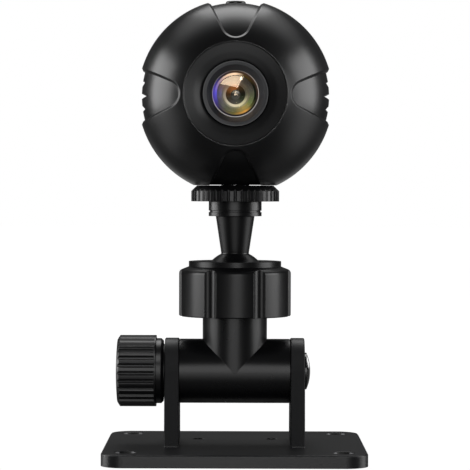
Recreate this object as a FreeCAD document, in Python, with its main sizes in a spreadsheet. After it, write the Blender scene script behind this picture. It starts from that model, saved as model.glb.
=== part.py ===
import FreeCAD, Part
import math
import os
from types import SimpleNamespace

import Sketcher

# Mini security camera: a ball-shaped camera on a ball joint, a hinged arm and a screw-down base plate.
# Millimetres. +Z is up, +X is to the right seen from the front, and the lens looks along -Y.
# The origin is the middle of the base plate's underside.

Vector = FreeCAD.Vector
FAR = 60.0  # well outside the object
CLEAR = 1.0  # how far a cutting shape stands out of the solid it cuts
THROUGH = 1.5  # wall thicknesses that a cut through one wall runs
NEAR = 0.01  # how close two places count as one
ALONG = 0.9  # how nearly parallel an edge counts as lying along a direction

# Driving dimensions: name, value, what it is
DIMENSIONS = [
    # Base plate and its two ears
    ("plate_width", 58.2, "plate, left to right"),
    ("plate_depth", 48.0, "plate, front to back"),
    ("plate_thickness", 2.8, "plate thickness"),
    ("plate_corner", 5.0, "plate corner radius"),
    ("plate_edge", 0.3, "bevel round the plate's top edge"),
    ("screw_pitch_x", 47.6, "mounting holes, left to right"),
    ("screw_pitch_y", 37.0, "mounting holes, front to back"),
    ("screw_hole_radius", 1.5, "mounting hole"),
    ("screw_sink_radius", 2.45, "countersink at the plate's top"),
    ("pilot_pitch", 16.8, "two small tie holes, left to right"),
    ("pilot_back", 7.9, "two small tie holes, distance behind the middle"),
    ("pilot_radius", 1.45, "two small tie holes"),
    ("ear_gap", 25.0, "between the ears"),
    ("ear_thickness", 3.2, "ear thickness"),
    ("ear_foot", 17.4, "ear depth where it meets the plate"),
    ("ear_round", 7.47, "ear top radius"),
    ("ear_edge", 0.2, "bevel along the ears"),
    ("hinge_height", 19.1, "hinge axis above the plate's underside"),
    # Hinge bolt, nut, washer and clamp knob
    ("bolt_radius", 2.5, "hinge bolt shank"),
    ("bolt_head_radius", 4.15, "domed bolt head"),
    ("bolt_head_rim", 0.45, "straight rim of the bolt head"),
    ("bolt_head_dome", 0.9, "height of the dome above its rim"),
    ("bolt_square", 5.0, "square neck that stops the bolt turning"),
    ("bolt_bevel", 0.4, "bevel at the end of the bolt"),
    ("bolt_past_nut", 3.0, "bolt beyond the nut"),
    ("square_clearance", 0.06, "gap round the square neck"),
    ("running_clearance", 0.07, "radial gap of a turning fit"),
    ("face_gap", 0.05, "gap between faces that slide on each other"),
    ("washer_thickness", 0.3, "thrust washer under the knob"),
    ("washer_radius", 6.0, "thrust washer"),
    ("knob_hub_radius", 7.35, "smooth hub of the knob"),
    ("knob_hub_length", 1.65, "smooth hub of the knob"),
    ("knob_radius", 8.05, "ribbed part of the knob"),
    ("knob_length", 9.1, "ribbed part of the knob"),
    ("knob_bevel", 0.95, "bevel at the knob's outer end"),
    ("knob_dome", 0.35, "crown of the knob's outer face"),
    ("knob_round", 0.5, "rounding at the hub's inner edge"),
    ("knob_ribs", 28, "ribs round the knob"),
    ("knob_end_ring", 0.35, "smooth ring between the hub and the grooves"),
    ("knob_groove_depth", 0.5, "groove between two ribs"),
    ("knob_groove_width", 1.05, "groove between two ribs"),
    ("knob_groove_floor", 0.3, "floor of the groove between two ribs"),
    ("nut_flats", 8.0, "knob nut across flats"),
    ("nut_thickness", 4.0, "knob nut"),
    ("nut_recess", 0.6, "knob nut below the hub face"),
    ("bolt_end_gap", 0.6, "room past the end of the bolt"),
    # Swinging arm with the ball socket
    ("arm_radius", 7.25, "horizontal barrel of the arm"),
    ("riser_radius", 7.27, "upright cylinder of the arm"),
    ("neck_radius", 9.4, "threaded neck of the socket"),
    ("neck_flare", 1.3, "height of the flare under the neck"),
    ("socket_rim", 0.3, "socket rim above the ball centre"),
    ("socket_bore", 8.0, "bore of the socket"),
    ("socket_taper_top", 3.0, "where the bore starts to narrow, below the ball centre"),
    ("socket_floor_radius", 4.4, "flat floor of the socket"),
    ("seat_floor", 0.65, "seat thickness under the ball"),
    # Ball and stem
    ("ball_height", 39.0, "ball centre above the plate's underside"),
    ("ball_radius", 7.3, "ball"),
    ("ball_clearance", 0.06, "gap round the ball"),
    ("stem_neck_radius", 3.1, "stem where it leaves the ball"),
    ("stem_top_radius", 4.38, "stem under its flange"),
    ("stem_length", 15.1, "ball centre to the flange"),
    ("stem_round", 0.2, "rounding at both ends of the stem"),
    ("flange_radius", 5.97, "flange on top of the stem"),
    ("flange_height", 3.27, "flange on top of the stem"),
    ("flange_line_height", 0.9, "groove round the flange above its underside"),
    ("flange_line_width", 0.35, "groove round the flange"),
    ("flange_line_depth", 0.25, "groove round the flange"),
    # Clamp collar and its seat ring
    ("collar_radius", 12.63, "clamp collar"),
    ("collar_bottom", 7.4, "collar underside below the ball centre"),
    ("collar_body", 10.26, "height of the collar's fluted wall"),
    ("collar_shoulder", 0.87, "height of the sloped shoulder"),
    ("collar_round", 1.0, "rounding between the wall and the shoulder"),
    ("collar_lip_radius", 10.43, "top ring of the collar"),
    ("collar_lip", 1.18, "height of the top ring"),
    ("collar_edge", 0.2, "bevel round the collar's underside"),
    ("collar_mouth", 5.95, "opening in the top of the collar"),
    ("collar_roof", 2.5, "inside ceiling above the ball centre"),
    ("collar_throat", 7.2, "opening at the inside ceiling"),
    ("flutes", 7, "flutes round the collar"),
    ("flute_curve", 1.8, "hollow of a flute"),
    ("flute_depth", 0.7, "depth of a flute"),
    ("flute_edge", 0.45, "rounding of a flute's edges"),
    ("flute_overlap", 0.02, "how far that rounding crosses the wall and the hollow"),
    ("thread_clearance", 0.1, "gap between collar bore and neck"),
    ("ring_radius", 9.3, "seat ring above the ball"),
    ("ring_bottom", 0.75, "seat ring above the ball centre"),
    # Stud and lock nut
    ("stud_radius", 3.175, "quarter inch camera screw"),
    ("stud_root", 7.4, "length held in the stem below the flange top"),
    ("stud_rise", 8.6, "length above the flange top"),
    ("stud_bevel", 0.4, "bevel at the stud's end"),
    ("stud_clearance", 0.02, "gap round the moulded-in end"),
    ("locknut_gap", 0.05, "room under the lock nut, to unlock it"),
    ("locknut_radius", 9.92, "knurled lock nut"),
    ("locknut_height", 3.58, "knurled lock nut"),
    ("locknut_bevel_width", 1.3, "bevel round the top of the nut"),
    ("locknut_bevel_height", 1.25, "bevel round the top of the nut"),
    ("locknut_ribs", 40, "knurls round the nut"),
    ("locknut_groove_depth", 0.32, "groove between two knurls"),
    ("locknut_groove_width", 0.75, "groove between two knurls"),
    ("locknut_groove_floor", 0.15, "floor of the groove between two knurls"),
    # Camera ball
    ("head_radius", 22.0, "camera ball"),
    ("head_inside", 19.0, "inside of the camera ball"),
    ("head_flat", 19.91, "flat underside below the ball's middle"),
    ("channel_width", 11.8, "channel across the underside"),
    ("channel_depth", 0.1, "channel across the underside"),
    ("parting", 6.0, "where the two shells meet, behind the middle"),
    ("seam_gap", 0.12, "fine gap at the seam"),
    ("lip_length", 2.2, "rear shell's lip inside the front shell"),
    ("lip_thickness", 1.0, "rear shell's lip"),
    ("lip_gap", 0.08, "gap round the lip"),
    ("petal_radius", 21.1, "floor of the four recesses"),
    ("petal_tip", 12.43, "tip of a recess from the lens axis"),
    ("petal_round", 2.87, "rounding of the tip"),
    ("petal_angle", 24.7, "flare of a recess to each side, degrees"),
    ("petal_slope", 0.45, "sloped edge of a recess"),
    ("slot_floor", 19.3, "bottom of the middle side groove from the middle"),
    ("slot_width", 1.3, "middle side groove"),
    ("line_floor", 20.15, "bottom of the outer side grooves"),
    ("line_offset", 3.0, "outer side grooves from the middle one"),
    ("line_inward", 0.85, "outer side grooves, towards the middle one"),
    ("line_outward", 0.5, "outer side grooves, away from the middle one"),
    ("line_rim", 20.9, "edge of the outer side grooves"),
    ("dish_radius", 11.2, "dish round the lens"),
    ("dish_depth", 1.43, "dish round the lens"),
    ("dish_knee_radius", 9.05, "where the dish steepens"),
    ("dish_knee_depth", 0.86, "where the dish steepens"),
    ("dish_bead", 0.22, "round bead at the edge of the dish"),
    ("lens_hole", 7.3, "hole for the lens barrel"),
    ("front_wall", 15.6, "inside of the front wall from the middle"),
    ("panel_radius", 8.5, "recess in the back"),
    ("panel_floor", 19.2, "floor of the back recess from the middle"),
    ("panel_wall", 1.6, "wall under the back recess"),
    ("reset_radius", 0.5, "reset pinhole"),
    ("reset_out", 6.0, "reset pinhole, to the side"),
    ("reset_down", 2.0, "reset pinhole, below the middle"),
    # Shell screws and their posts
    ("post_side", 14.5, "screw posts, to each side"),
    ("post_down", 6.0, "screw posts, below the middle"),
    ("post_radius", 2.2, "screw posts"),
    ("post_front", 11.5, "front end of the posts, ahead of the middle"),
    ("pilot_depth", 4.6, "screw thread ahead of the middle, in the front shell's posts"),
    ("shell_screw_radius", 0.8, "shell screw shank"),
    ("shell_screw_head", 1.5, "shell screw head"),
    ("shell_screw_head_height", 1.0, "shell screw head"),
    ("shell_screw_seat", 8.0, "head seat behind the middle"),
    ("shell_screw_length", 12.0, "shank length"),
    # Camera screw socket
    ("insert_radius", 4.5, "threaded insert"),
    ("insert_height", 5.0, "threaded insert"),
    ("insert_waist", 0.4, "depth of the groove round the insert"),
    ("insert_waist_width", 1.2, "groove round the insert"),
    ("insert_fit", 0.02, "gap round the insert"),
    ("boss_radius", 5.85, "boss round the insert"),
    ("boss_gap", 0.1, "room round the boss in the frame and the lip"),
    ("boss_top", 13.5, "top of the boss below the middle"),
    # Lens
    ("barrel_radius", 7.1, "lens barrel"),
    ("barrel_front", 18.6, "front rim of the barrel from the middle"),
    ("barrel_rim", 0.15, "width of the front rim"),
    ("barrel_slope_radius", 6.35, "inner edge of the sloped rim"),
    ("barrel_slope", 0.3, "depth of the sloped rim"),
    ("barrel_step", 12.0, "end of the wide part"),
    ("barrel_tail_radius", 6.0, "threaded tail"),
    ("barrel_tail_end", 1.6, "end of the tail ahead of the middle"),
    ("tunnel_radius", 3.2, "bore between the aperture disc and the rear lens"),
    ("glass_seat_radius", 5.2, "inner end of the cone"),
    ("glass_seat", 16.9, "inner end of the cone from the middle"),
    ("ring_height", 0.5, "retaining ring"),
    ("ring_opening", 4.1, "opening of the retaining ring"),
    ("ring_land", 0.15, "flat front of the retaining ring"),
    ("ring_steps", 3, "steps inside the retaining ring"),
    ("glass_radius", 5.1, "front glass"),
    ("glass_edge", 1.0, "front glass at its edge"),
    ("glass_bulge", 0.75, "crown of the front glass"),
    ("stop_opening", 2.26, "aperture disc opening"),
    ("stop_radius", 4.55, "aperture disc"),
    ("stop_cone", 0.7, "width of the cone in the aperture disc"),
    ("stop_thickness", 1.0, "aperture disc"),
    ("stop_front", 13.9, "front of the aperture disc from the middle"),
    ("rear_lens_radius", 4.0, "rear lens"),
    ("rear_lens_front", 6.0, "front of the rear lens from the middle"),
    ("rear_lens_thickness", 2.4, "rear lens"),
    ("lens_fit", 0.05, "gap round a glass"),
    # Lens holder, sensor and boards
    ("holder_radius", 7.8, "round part of the lens holder"),
    ("holder_front", 9.0, "front of the holder ahead of the middle"),
    ("holder_square", 16.0, "square foot of the holder"),
    ("holder_foot", 4.0, "thickness of the foot"),
    ("holder_window", 9.0, "square opening in the foot"),
    ("filter_size", 8.8, "infrared filter"),
    ("filter_thickness", 0.4, "infrared filter"),
    ("filter_front", 1.4, "front of the filter ahead of the middle"),
    ("sensor_size", 7.0, "image sensor"),
    ("sensor_thickness", 1.0, "image sensor"),
    ("board_thickness", 1.2, "circuit boards"),
    ("sensor_board_size", 18.0, "square sensor board"),
    ("frame_front", 2.2, "front face of the inner frame behind the middle"),
    ("frame_thickness", 1.5, "inner frame"),
    ("frame_radius", 18.35, "inner frame"),
    ("rail_length", 10.8, "rails that hold the main board"),
    ("rail_thickness", 1.4, "rails that hold the main board"),
    ("rail_height", 2.8, "rails that hold the main board"),
    ("rail_gap", 0.1, "gap at each edge of the main board"),
    ("main_board_width", 16.0, "main board, left to right"),
    ("main_board_length", 13.0, "main board, front to back"),
    ("usb_width", 7.5, "charging socket"),
    ("usb_height", 2.6, "charging socket"),
    ("usb_length", 6.4, "charging socket"),
    ("usb_wall", 0.35, "sheet of the charging socket"),
    ("usb_tongue_width", 4.5, "tongue in the charging socket"),
    ("usb_tongue_height", 0.7, "tongue in the charging socket"),
    ("usb_tongue_back", 0.7, "tongue behind the socket's mouth"),
    ("usb_recess", 0.3, "socket mouth below the back recess"),
    ("usb_gap", 0.15, "gap round the socket in the shell"),
    ("card_width", 12.0, "memory card socket"),
    ("card_height", 1.9, "memory card socket"),
    ("card_length", 13.0, "memory card socket"),
    ("card_mouth_width", 11.4, "card slot"),
    ("card_mouth_height", 0.9, "card slot"),
    ("battery_width", 22.0, "battery"),
    ("battery_depth", 6.5, "battery"),
    ("battery_height", 9.0, "battery"),
    ("battery_top", 1.6, "top of the battery below the middle"),
    ("battery_round", 1.0, "battery edges"),
    ("tray_thickness", 0.7, "ledge under the battery"),
    ("antenna_width", 3.8, "wireless antenna"),
    ("antenna_height", 9.5, "wireless antenna"),
    ("antenna_thickness", 0.3, "wireless antenna"),
    ("antenna_side", 9.8, "wireless antenna, to the side"),
    ("antenna_up", 2.0, "wireless antenna above the middle"),
    # Power button
    ("button_radius", 2.25, "power button"),
    ("button_rise", 0.4, "power button above the recess floor"),
    ("button_flange_radius", 3.0, "flange that keeps the button in"),
    ("button_flange", 0.7, "flange thickness"),
    ("button_flange_top", 18.7, "flange top above the middle"),
    ("button_bottom", 17.2, "button underside above the middle"),
    ("button_edge", 0.25, "bevel round the button's top"),
    ("plunger_radius", 0.9, "plunger of the switch"),
    ("plunger_length", 1.9, "plunger of the switch"),
    ("switch_size", 4.5, "switch body"),
    ("switch_height", 1.8, "switch body"),
    ("switch_floor", 0.3, "switch body under the plunger's hole"),
    ("button_board_width", 9.0, "button board, left to right"),
    ("button_board_depth", 6.0, "button board, front to back"),
    ("button_board_top", 14.6, "button board above the middle"),
    ("shelf_thickness", 1.0, "shelf that carries the button board"),
    # Height of the camera ball
    ("head_gap", 0.05, "gap between lock nut and camera"),
]


class Size:
    """A length together with the spreadsheet formula that gives it."""

    def __init__(self, formula, value):
        self.formula = formula
        self.value = value

    def __add__(self, other):
        return Size(f"({self.formula} + {formula_of(other)})", self.value + value_of(other))

    def __sub__(self, other):
        return Size(f"({self.formula} - {formula_of(other)})", self.value - value_of(other))

    def __mul__(self, other):
        return Size(f"({self.formula} * {formula_of(other)})", self.value * value_of(other))

    def __truediv__(self, other):
        return Size(f"({self.formula} / {formula_of(other)})", self.value / value_of(other))

    def __neg__(self):
        return Size(f"(0 - {self.formula})", -self.value)


class Arc:
    """A round stretch between two corners of an outline."""

    def __init__(self, centre_x, centre_y, radius, clockwise=False):
        self.centre = (centre_x, centre_y)
        self.radius = radius
        self.clockwise = clockwise


def value_of(size):
    return size.value if isinstance(size, Size) else float(size)


def formula_of(size):
    return size.formula if isinstance(size, Size) else repr(size)


def root(size):
    return Size(f"sqrt({size.formula})", math.sqrt(size.value))


def sine(angle):
    return Size(f"sin({angle.formula} * 1deg)", math.sin(math.radians(angle.value)))


def cosine(angle):
    return Size(f"cos({angle.formula} * 1deg)", math.cos(math.radians(angle.value)))


def other_leg(long_side, leg):
    """Third side of a right triangle, such as the width of a sphere at a height."""
    return root(long_side * long_side - leg * leg)


doc = FreeCAD.newDocument("mini_security_camera")
sheet = doc.addObject("Spreadsheet::Sheet", "dims")
size = SimpleNamespace()
for row, (alias, number, meaning) in enumerate(DIMENSIONS, start=1):
    sheet.set(f"A{row}", meaning)
    sheet.set(f"B{row}", str(number))
    sheet.setAlias(f"B{row}", alias)
    setattr(size, alias, Size(f"dims.{alias}", float(number)))
doc.recompute()

parts = []


def bind(item, place, length):
    """Tie a property to the sheet, or set it where the length is a plain number."""
    item.setExpression(place, formula_of(length))


def new_body(name, height=None):
    """A body whose own origin lies on the object's centre line at a height."""
    body = doc.addObject("PartDesign::Body", name)
    body.Label = name
    if height is not None:
        bind(body, ".Placement.Base.z", height)
    parts.append(body)
    return body


def origin_part(body, role):
    return next(item for item in body.Origin.OriginFeatures if item.Role == role)


def new_sketch(body, role, offset=None):
    """A sketch on one of the body's own planes, moved along the plane's normal by offset."""
    sketch = body.newObject("Sketcher::SketchObject", f"{body.Name}_sketch")
    sketch.AttachmentSupport = [(origin_part(body, role), "")]
    sketch.MapMode = "FlatFace"
    if offset is not None:
        bind(sketch, "AttachmentOffset.Base.z", offset)
    return sketch


def hold(sketch, kind, geometry, end, length):
    """Fix one coordinate of a point in a sketch."""
    if not isinstance(length, Size) and length == 0:
        axis = -2 if kind == "DistanceX" else -1
        sketch.addConstraint(Sketcher.Constraint("PointOnObject", geometry, end, axis))
        return
    rank = sketch.addConstraint(Sketcher.Constraint(kind, -1, 1, geometry, end, value_of(length)))
    bind(sketch, f"Constraints[{rank}]", length)


def add_circle(sketch, x, y, radius):
    circle = Part.Circle(Vector(value_of(x), value_of(y), 0), Vector(0, 0, 1), value_of(radius))
    rank = sketch.addGeometry(circle, False)
    hold(sketch, "DistanceX", rank, 3, x)
    hold(sketch, "DistanceY", rank, 3, y)
    place = sketch.addConstraint(Sketcher.Constraint("Radius", rank, value_of(radius)))
    bind(sketch, f"Constraints[{place}]", radius)


def add_outline(sketch, path):
    """Closed outline. path holds corners (x, y, fixed) with an Arc between two of them where round.

    fixed says which coordinates are held, "xy" unless given; an arc's ends leave one to the circle.
    """
    corners = []
    rounds = {}
    for step in path:
        if isinstance(step, Arc):
            rounds[len(corners) - 1] = step
        else:
            corners.append(step)
    lines = []
    for rank, corner in enumerate(corners):
        following = corners[(rank + 1) % len(corners)]
        start = Vector(value_of(corner[0]), value_of(corner[1]), 0)
        end = Vector(value_of(following[0]), value_of(following[1]), 0)
        arc = rounds.get(rank)
        if arc is None:
            lines.append((sketch.addGeometry(Part.LineSegment(start, end), False), 1, 2))
            continue
        centre = Vector(value_of(arc.centre[0]), value_of(arc.centre[1]), 0)
        circle = Part.Circle(centre, Vector(0, 0, 1), value_of(arc.radius))
        angles = [math.atan2(point.y - centre.y, point.x - centre.x) for point in (start, end)]
        if arc.clockwise:
            angles.reverse()
        if angles[1] <= angles[0]:
            angles[1] += 2 * math.pi
        place = sketch.addGeometry(Part.ArcOfCircle(circle, angles[0], angles[1]), False)
        lines.append((place, 2, 1) if arc.clockwise else (place, 1, 2))
        hold(sketch, "DistanceX", place, 3, arc.centre[0])
        hold(sketch, "DistanceY", place, 3, arc.centre[1])
        held = sketch.addConstraint(Sketcher.Constraint("Radius", place, value_of(arc.radius)))
        bind(sketch, f"Constraints[{held}]", arc.radius)
    for rank, (place, first, last) in enumerate(lines):
        following = lines[(rank + 1) % len(lines)]
        sketch.addConstraint(Sketcher.Constraint("Coincident", place, last, following[0], following[1]))
    for corner, (place, first, last) in zip(corners, lines):
        fixed = corner[2] if len(corner) > 2 else "xy"
        if "x" in fixed:
            hold(sketch, "DistanceX", place, first, corner[0])
        if "y" in fixed:
            hold(sketch, "DistanceY", place, first, corner[1])


def add_rectangle(sketch, low_x, high_x, low_y, high_y):
    add_outline(sketch, [(low_x, low_y), (high_x, low_y), (high_x, high_y), (low_x, high_y)])


def feature(body, kind, sketch):
    item = body.newObject(f"PartDesign::{kind}", f"{body.Name}_{kind.lower()}")
    item.Profile = sketch
    return item


def turn(body, sketch, axis, kind="Revolution"):
    """Turn a sketch all the way round its own "V_Axis" or "H_Axis", adding or with Groove cutting."""
    item = feature(body, kind, sketch)
    item.ReferenceAxis = (sketch, [axis])
    item.Angle = 360
    return item


def pad(body, sketch, length, backwards=False):
    item = feature(body, "Pad", sketch)
    bind(item, "Length", length)
    item.Reversed = backwards
    return item


def cut(body, sketch, length=None, backwards=False):
    """Pocket along the sketch's negative normal, or right through both ways without a length."""
    item = feature(body, "Pocket", sketch)
    if length is None:
        item.Midplane = True
        item.Length = FAR * 2
    else:
        bind(item, "Length", length)
        item.Reversed = backwards
    return item


def round_the_axis(body, item, role, count):
    """Repeat a feature evenly round one of the body's own axes."""
    pattern = body.newObject("PartDesign::PolarPattern", f"{body.Name}_pattern")
    pattern.Originals = [item]
    pattern.Axis = (origin_part(body, role), [""])
    pattern.Angle = 360
    if isinstance(count, Size):
        bind(pattern, "Occurrences", count)
    else:
        pattern.Occurrences = count
    body.Tip = pattern
    return pattern


def mirror(body, items, role):
    """Repeat features on the other side of one of the body's own planes."""
    pattern = body.newObject("PartDesign::Mirrored", f"{body.Name}_mirror")
    pattern.Originals = items
    pattern.MirrorPlane = (origin_part(body, role), [""])
    body.Tip = pattern
    return pattern


def dress(body, kind, length, chosen):
    """Fillet or Chamfer on the edges of the body's last feature that chosen() picks."""
    doc.recompute()
    base = body.Tip
    names = [f"Edge{rank}" for rank, edge in enumerate(base.Shape.Edges, start=1) if chosen(edge)]
    if not names:
        raise ValueError(f"{body.Label}: no edge to dress")
    item = body.newObject(f"PartDesign::{kind}", f"{body.Name}_{kind.lower()}")
    item.Base = (base, names)
    bind(item, "Radius" if kind == "Fillet" else "Size", length)
    return item


def points_on(edge):
    return [vertex.Point for vertex in edge.Vertexes] + [edge.valueAt(
        (edge.FirstParameter + edge.LastParameter) / 2)]


def block(name, x, y, z):
    """A box between pairs of lengths in the camera ball's own frame."""
    box = doc.addObject("Part::Box", name)
    for side, place, (low, high) in zip(("Length", "Width", "Height"), "xyz", (x, y, z)):
        bind(box, side, high - low)
        bind(box, f".Placement.Base.{place}", low + head_height if place == "z" else low)
    return box


def rod(name, radius, x, y, z, length, axis="z"):
    """A cylinder in the camera ball's own frame, from a point along +Z, or along +Y."""
    item = doc.addObject("Part::Cylinder", name)
    bind(item, "Radius", radius)
    bind(item, "Height", length)
    bind(item, ".Placement.Base.x", x)
    bind(item, ".Placement.Base.y", y)
    bind(item, ".Placement.Base.z", z + head_height)
    if axis == "y":
        item.Placement.Rotation = FreeCAD.Rotation(Vector(1, 0, 0), -90)
    return item


def joined(kind, name, first, others):
    """Part::Fuse or Part::Cut of one solid with others, as a sub-part."""
    for other in others:
        item = doc.addObject(f"Part::{kind}", f"{name}_{kind.lower()}")
        item.Base = first
        item.Tool = other
        first = item
    return first


def finish(name, item):
    item.Label = name
    parts.append(item)
    return item


zero = Size("0", 0.0)
flange_top = size.ball_height + size.stem_length + size.flange_height
locknut_top = flange_top + size.locknut_gap + size.locknut_height
head_height = locknut_top + size.head_gap + size.head_flat
ear_inside = size.ear_gap / 2
ear_outside = ear_inside + size.ear_thickness
washer_face = ear_outside + size.face_gap / 2
hub_face = washer_face + size.washer_thickness + size.face_gap / 2
hub_end = hub_face + size.knob_hub_length
knob_end = hub_end + size.knob_length
nut_face = hub_face + size.nut_recess
nut_end = nut_face + size.nut_thickness
bolt_end = nut_end + size.bolt_past_nut
hinge_bore = size.bolt_radius + size.running_clearance
square_hole = size.bolt_square / 2 + size.square_clearance


def make_base_bracket():
    body = new_body("base_bracket")
    outline = new_sketch(body, "XY_Plane")
    half_width = size.plate_width / 2
    half_depth = size.plate_depth / 2
    add_rectangle(outline, -half_width, half_width, -half_depth, half_depth)
    pad(body, outline, size.plate_thickness)
    corner = half_width.value - NEAR
    dress(body, "Fillet", size.plate_corner, lambda edge: all(abs(p.x) > corner for p in points_on(edge))
          and abs(edge.tangentAt(edge.FirstParameter).z) > ALONG)
    top = size.plate_thickness.value
    dress(body, "Chamfer", size.plate_edge, lambda edge: all(abs(p.z - top) < NEAR for p in points_on(edge)))

    # Ears: straight sides that run into the round top a little below its widest place
    ear = new_sketch(body, "YZ_Plane", ear_inside)
    foot = size.ear_foot / 2
    rise = size.hinge_height - size.plate_thickness
    reach = root(foot * foot + rise * rise)
    run = other_leg(reach, size.ear_round)
    touch_y = size.ear_round * (rise * run + foot * size.ear_round) / (reach * reach)
    touch_z = size.hinge_height + size.ear_round * (foot * run - rise * size.ear_round) / (reach * reach)
    add_outline(ear, [
        (-foot, size.plate_thickness),
        (foot, size.plate_thickness),
        (touch_y, touch_z, "y"),
        Arc(0, size.hinge_height, size.ear_round),
        (-touch_y, touch_z, "y"),
    ])
    ear_pad = pad(body, ear, size.ear_thickness)
    mirror(body, [ear_pad], "YZ_Plane")
    faces = (ear_inside.value, ear_outside.value)

    def ear_rim(edge):
        spots = points_on(edge)
        on_face = any(all(abs(abs(spot.x) - face) < NEAR for spot in spots) for face in faces)
        return on_face and max(spot.z for spot in spots) > top + NEAR

    dress(body, "Chamfer", size.ear_edge, ear_rim)

    # Round hole in the knob's ear, square one in the other
    hole = new_sketch(body, "YZ_Plane", -ear_inside)
    add_circle(hole, zero, size.hinge_height, hinge_bore)
    cut(body, hole, size.ear_thickness * THROUGH)
    square = new_sketch(body, "YZ_Plane", ear_inside)
    add_rectangle(square, -square_hole, square_hole,
                  size.hinge_height - square_hole, size.hinge_height + square_hole)
    cut(body, square, size.ear_thickness * THROUGH, backwards=True)

    # Countersunk mounting holes and the two tie holes
    screws = new_sketch(body, "XY_Plane", size.plate_thickness)
    for side_x in (-1, 1):
        for side_y in (-1, 1):
            add_circle(screws, size.screw_pitch_x / 2 * side_x, size.screw_pitch_y / 2 * side_y,
                       size.screw_hole_radius)
    doc.recompute()
    sink = body.newObject("PartDesign::Hole", "countersunk_holes")
    sink.Profile = screws
    sink.ThreadType = "None"
    sink.DepthType = "ThroughAll"
    bind(sink, "Diameter", size.screw_hole_radius * 2)
    sink.HoleCutType = "Countersink"
    sink.HoleCutCustomValues = True
    bind(sink, "HoleCutDiameter", size.screw_sink_radius * 2)
    sink.HoleCutCountersinkAngle = 90
    ties = new_sketch(body, "XY_Plane")
    for side_x in (-1, 1):
        add_circle(ties, size.pilot_pitch / 2 * side_x, size.pilot_back, size.pilot_radius)
    cut(body, ties)


def make_hinge_bolt():
    """Domed head on the right, square neck in the right ear, shank through the arm into the knob."""
    body = new_body("hinge_bolt", size.hinge_height)
    profile = new_sketch(body, "XZ_Plane")
    head_face = ear_outside + size.face_gap
    rim = head_face + size.bolt_head_rim
    crown = rim + size.bolt_head_dome
    dome = (size.bolt_head_radius * size.bolt_head_radius + size.bolt_head_dome * size.bolt_head_dome) / (
        size.bolt_head_dome * 2)
    add_outline(profile, [
        (-bolt_end, 0),
        (crown, 0, "y"),
        Arc(crown - dome, 0, dome),
        (rim, size.bolt_head_radius, "y"),
        (head_face, size.bolt_head_radius),
        (head_face, size.bolt_radius),
        (-bolt_end + size.bolt_bevel, size.bolt_radius),
        (-bolt_end, size.bolt_radius - size.bolt_bevel),
    ])
    turn(body, profile, "H_Axis")
    neck = new_sketch(body, "YZ_Plane", ear_inside + size.face_gap * 2)
    half = size.bolt_square / 2
    add_rectangle(neck, -half, half, -half, half)
    pad(body, neck, size.ear_thickness - size.face_gap)


def make_clamp_knob():
    body = new_body("clamp_knob", size.hinge_height)
    profile = new_sketch(body, "XZ_Plane")
    face = size.knob_radius - size.knob_bevel
    dome = (face * face + size.knob_dome * size.knob_dome) / (size.knob_dome * 2)
    blind_end = bolt_end + size.bolt_end_gap
    add_outline(profile, [
        (-hub_face, hinge_bore),
        (-hub_face, size.knob_hub_radius - size.knob_round),
        (-(hub_face + size.knob_round), size.knob_hub_radius),
        (-hub_end, size.knob_hub_radius),
        (-hub_end, size.knob_radius),
        (-(knob_end - size.knob_bevel), size.knob_radius),
        (-(knob_end - size.knob_dome), face, "y"),
        Arc(dome - knob_end, 0, dome),
        (-knob_end, 0, "y"),
        (-blind_end, 0),
        (-blind_end, hinge_bore),
    ])
    turn(body, profile, "H_Axis")
    groove = new_sketch(body, "YZ_Plane", -(hub_end + size.knob_end_ring))
    add_groove(groove, size.knob_radius, size.knob_groove_depth, size.knob_groove_width,
               size.knob_groove_floor)
    notch = cut(body, groove, size.knob_length * THROUGH)
    round_the_axis(body, notch, "X_Axis", size.knob_ribs)
    recess = new_sketch(body, "YZ_Plane", -hub_face)
    add_hexagon(recess, size.nut_flats / 2 + size.insert_fit)
    cut(body, recess, nut_end - hub_face + size.face_gap)


def add_groove(sketch, radius, depth, width, floor_width):
    """The groove between two ribs: as wide as width at the surface, and wider outside it."""
    floor_half = floor_width / 2
    outer_half = width - floor_half
    add_outline(sketch, [
        (-outer_half, radius + depth),
        (-floor_half, radius - depth),
        (floor_half, radius - depth),
        (outer_half, radius + depth),
    ])


def add_hexagon(sketch, half_flats):
    """A hexagon about the sketch's origin with a flat at the top."""
    corner = half_flats / (3 ** 0.5) * 2
    add_outline(sketch, [
        (corner / 2, half_flats),
        (-corner / 2, half_flats),
        (-corner, 0),
        (-corner / 2, -half_flats),
        (corner / 2, -half_flats),
        (corner, 0),
    ])


def make_knob_nut():
    body = new_body("knob_nut", size.hinge_height)
    outline = new_sketch(body, "YZ_Plane", -nut_face)
    add_hexagon(outline, size.nut_flats / 2)
    add_circle(outline, zero, zero, hinge_bore)
    pad(body, outline, size.nut_thickness, backwards=True)


def make_thrust_washer():
    body = new_body("thrust_washer", size.hinge_height)
    outline = new_sketch(body, "YZ_Plane", -washer_face)
    add_circle(outline, zero, zero, size.washer_radius)
    add_circle(outline, zero, zero, hinge_bore)
    pad(body, outline, size.washer_thickness, backwards=True)


ball_rise = size.ball_height - size.hinge_height
seat_inside = size.ball_radius + size.ball_clearance
seat_bottom = seat_inside + size.seat_floor
seat_outside = size.socket_bore - size.face_gap


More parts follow.
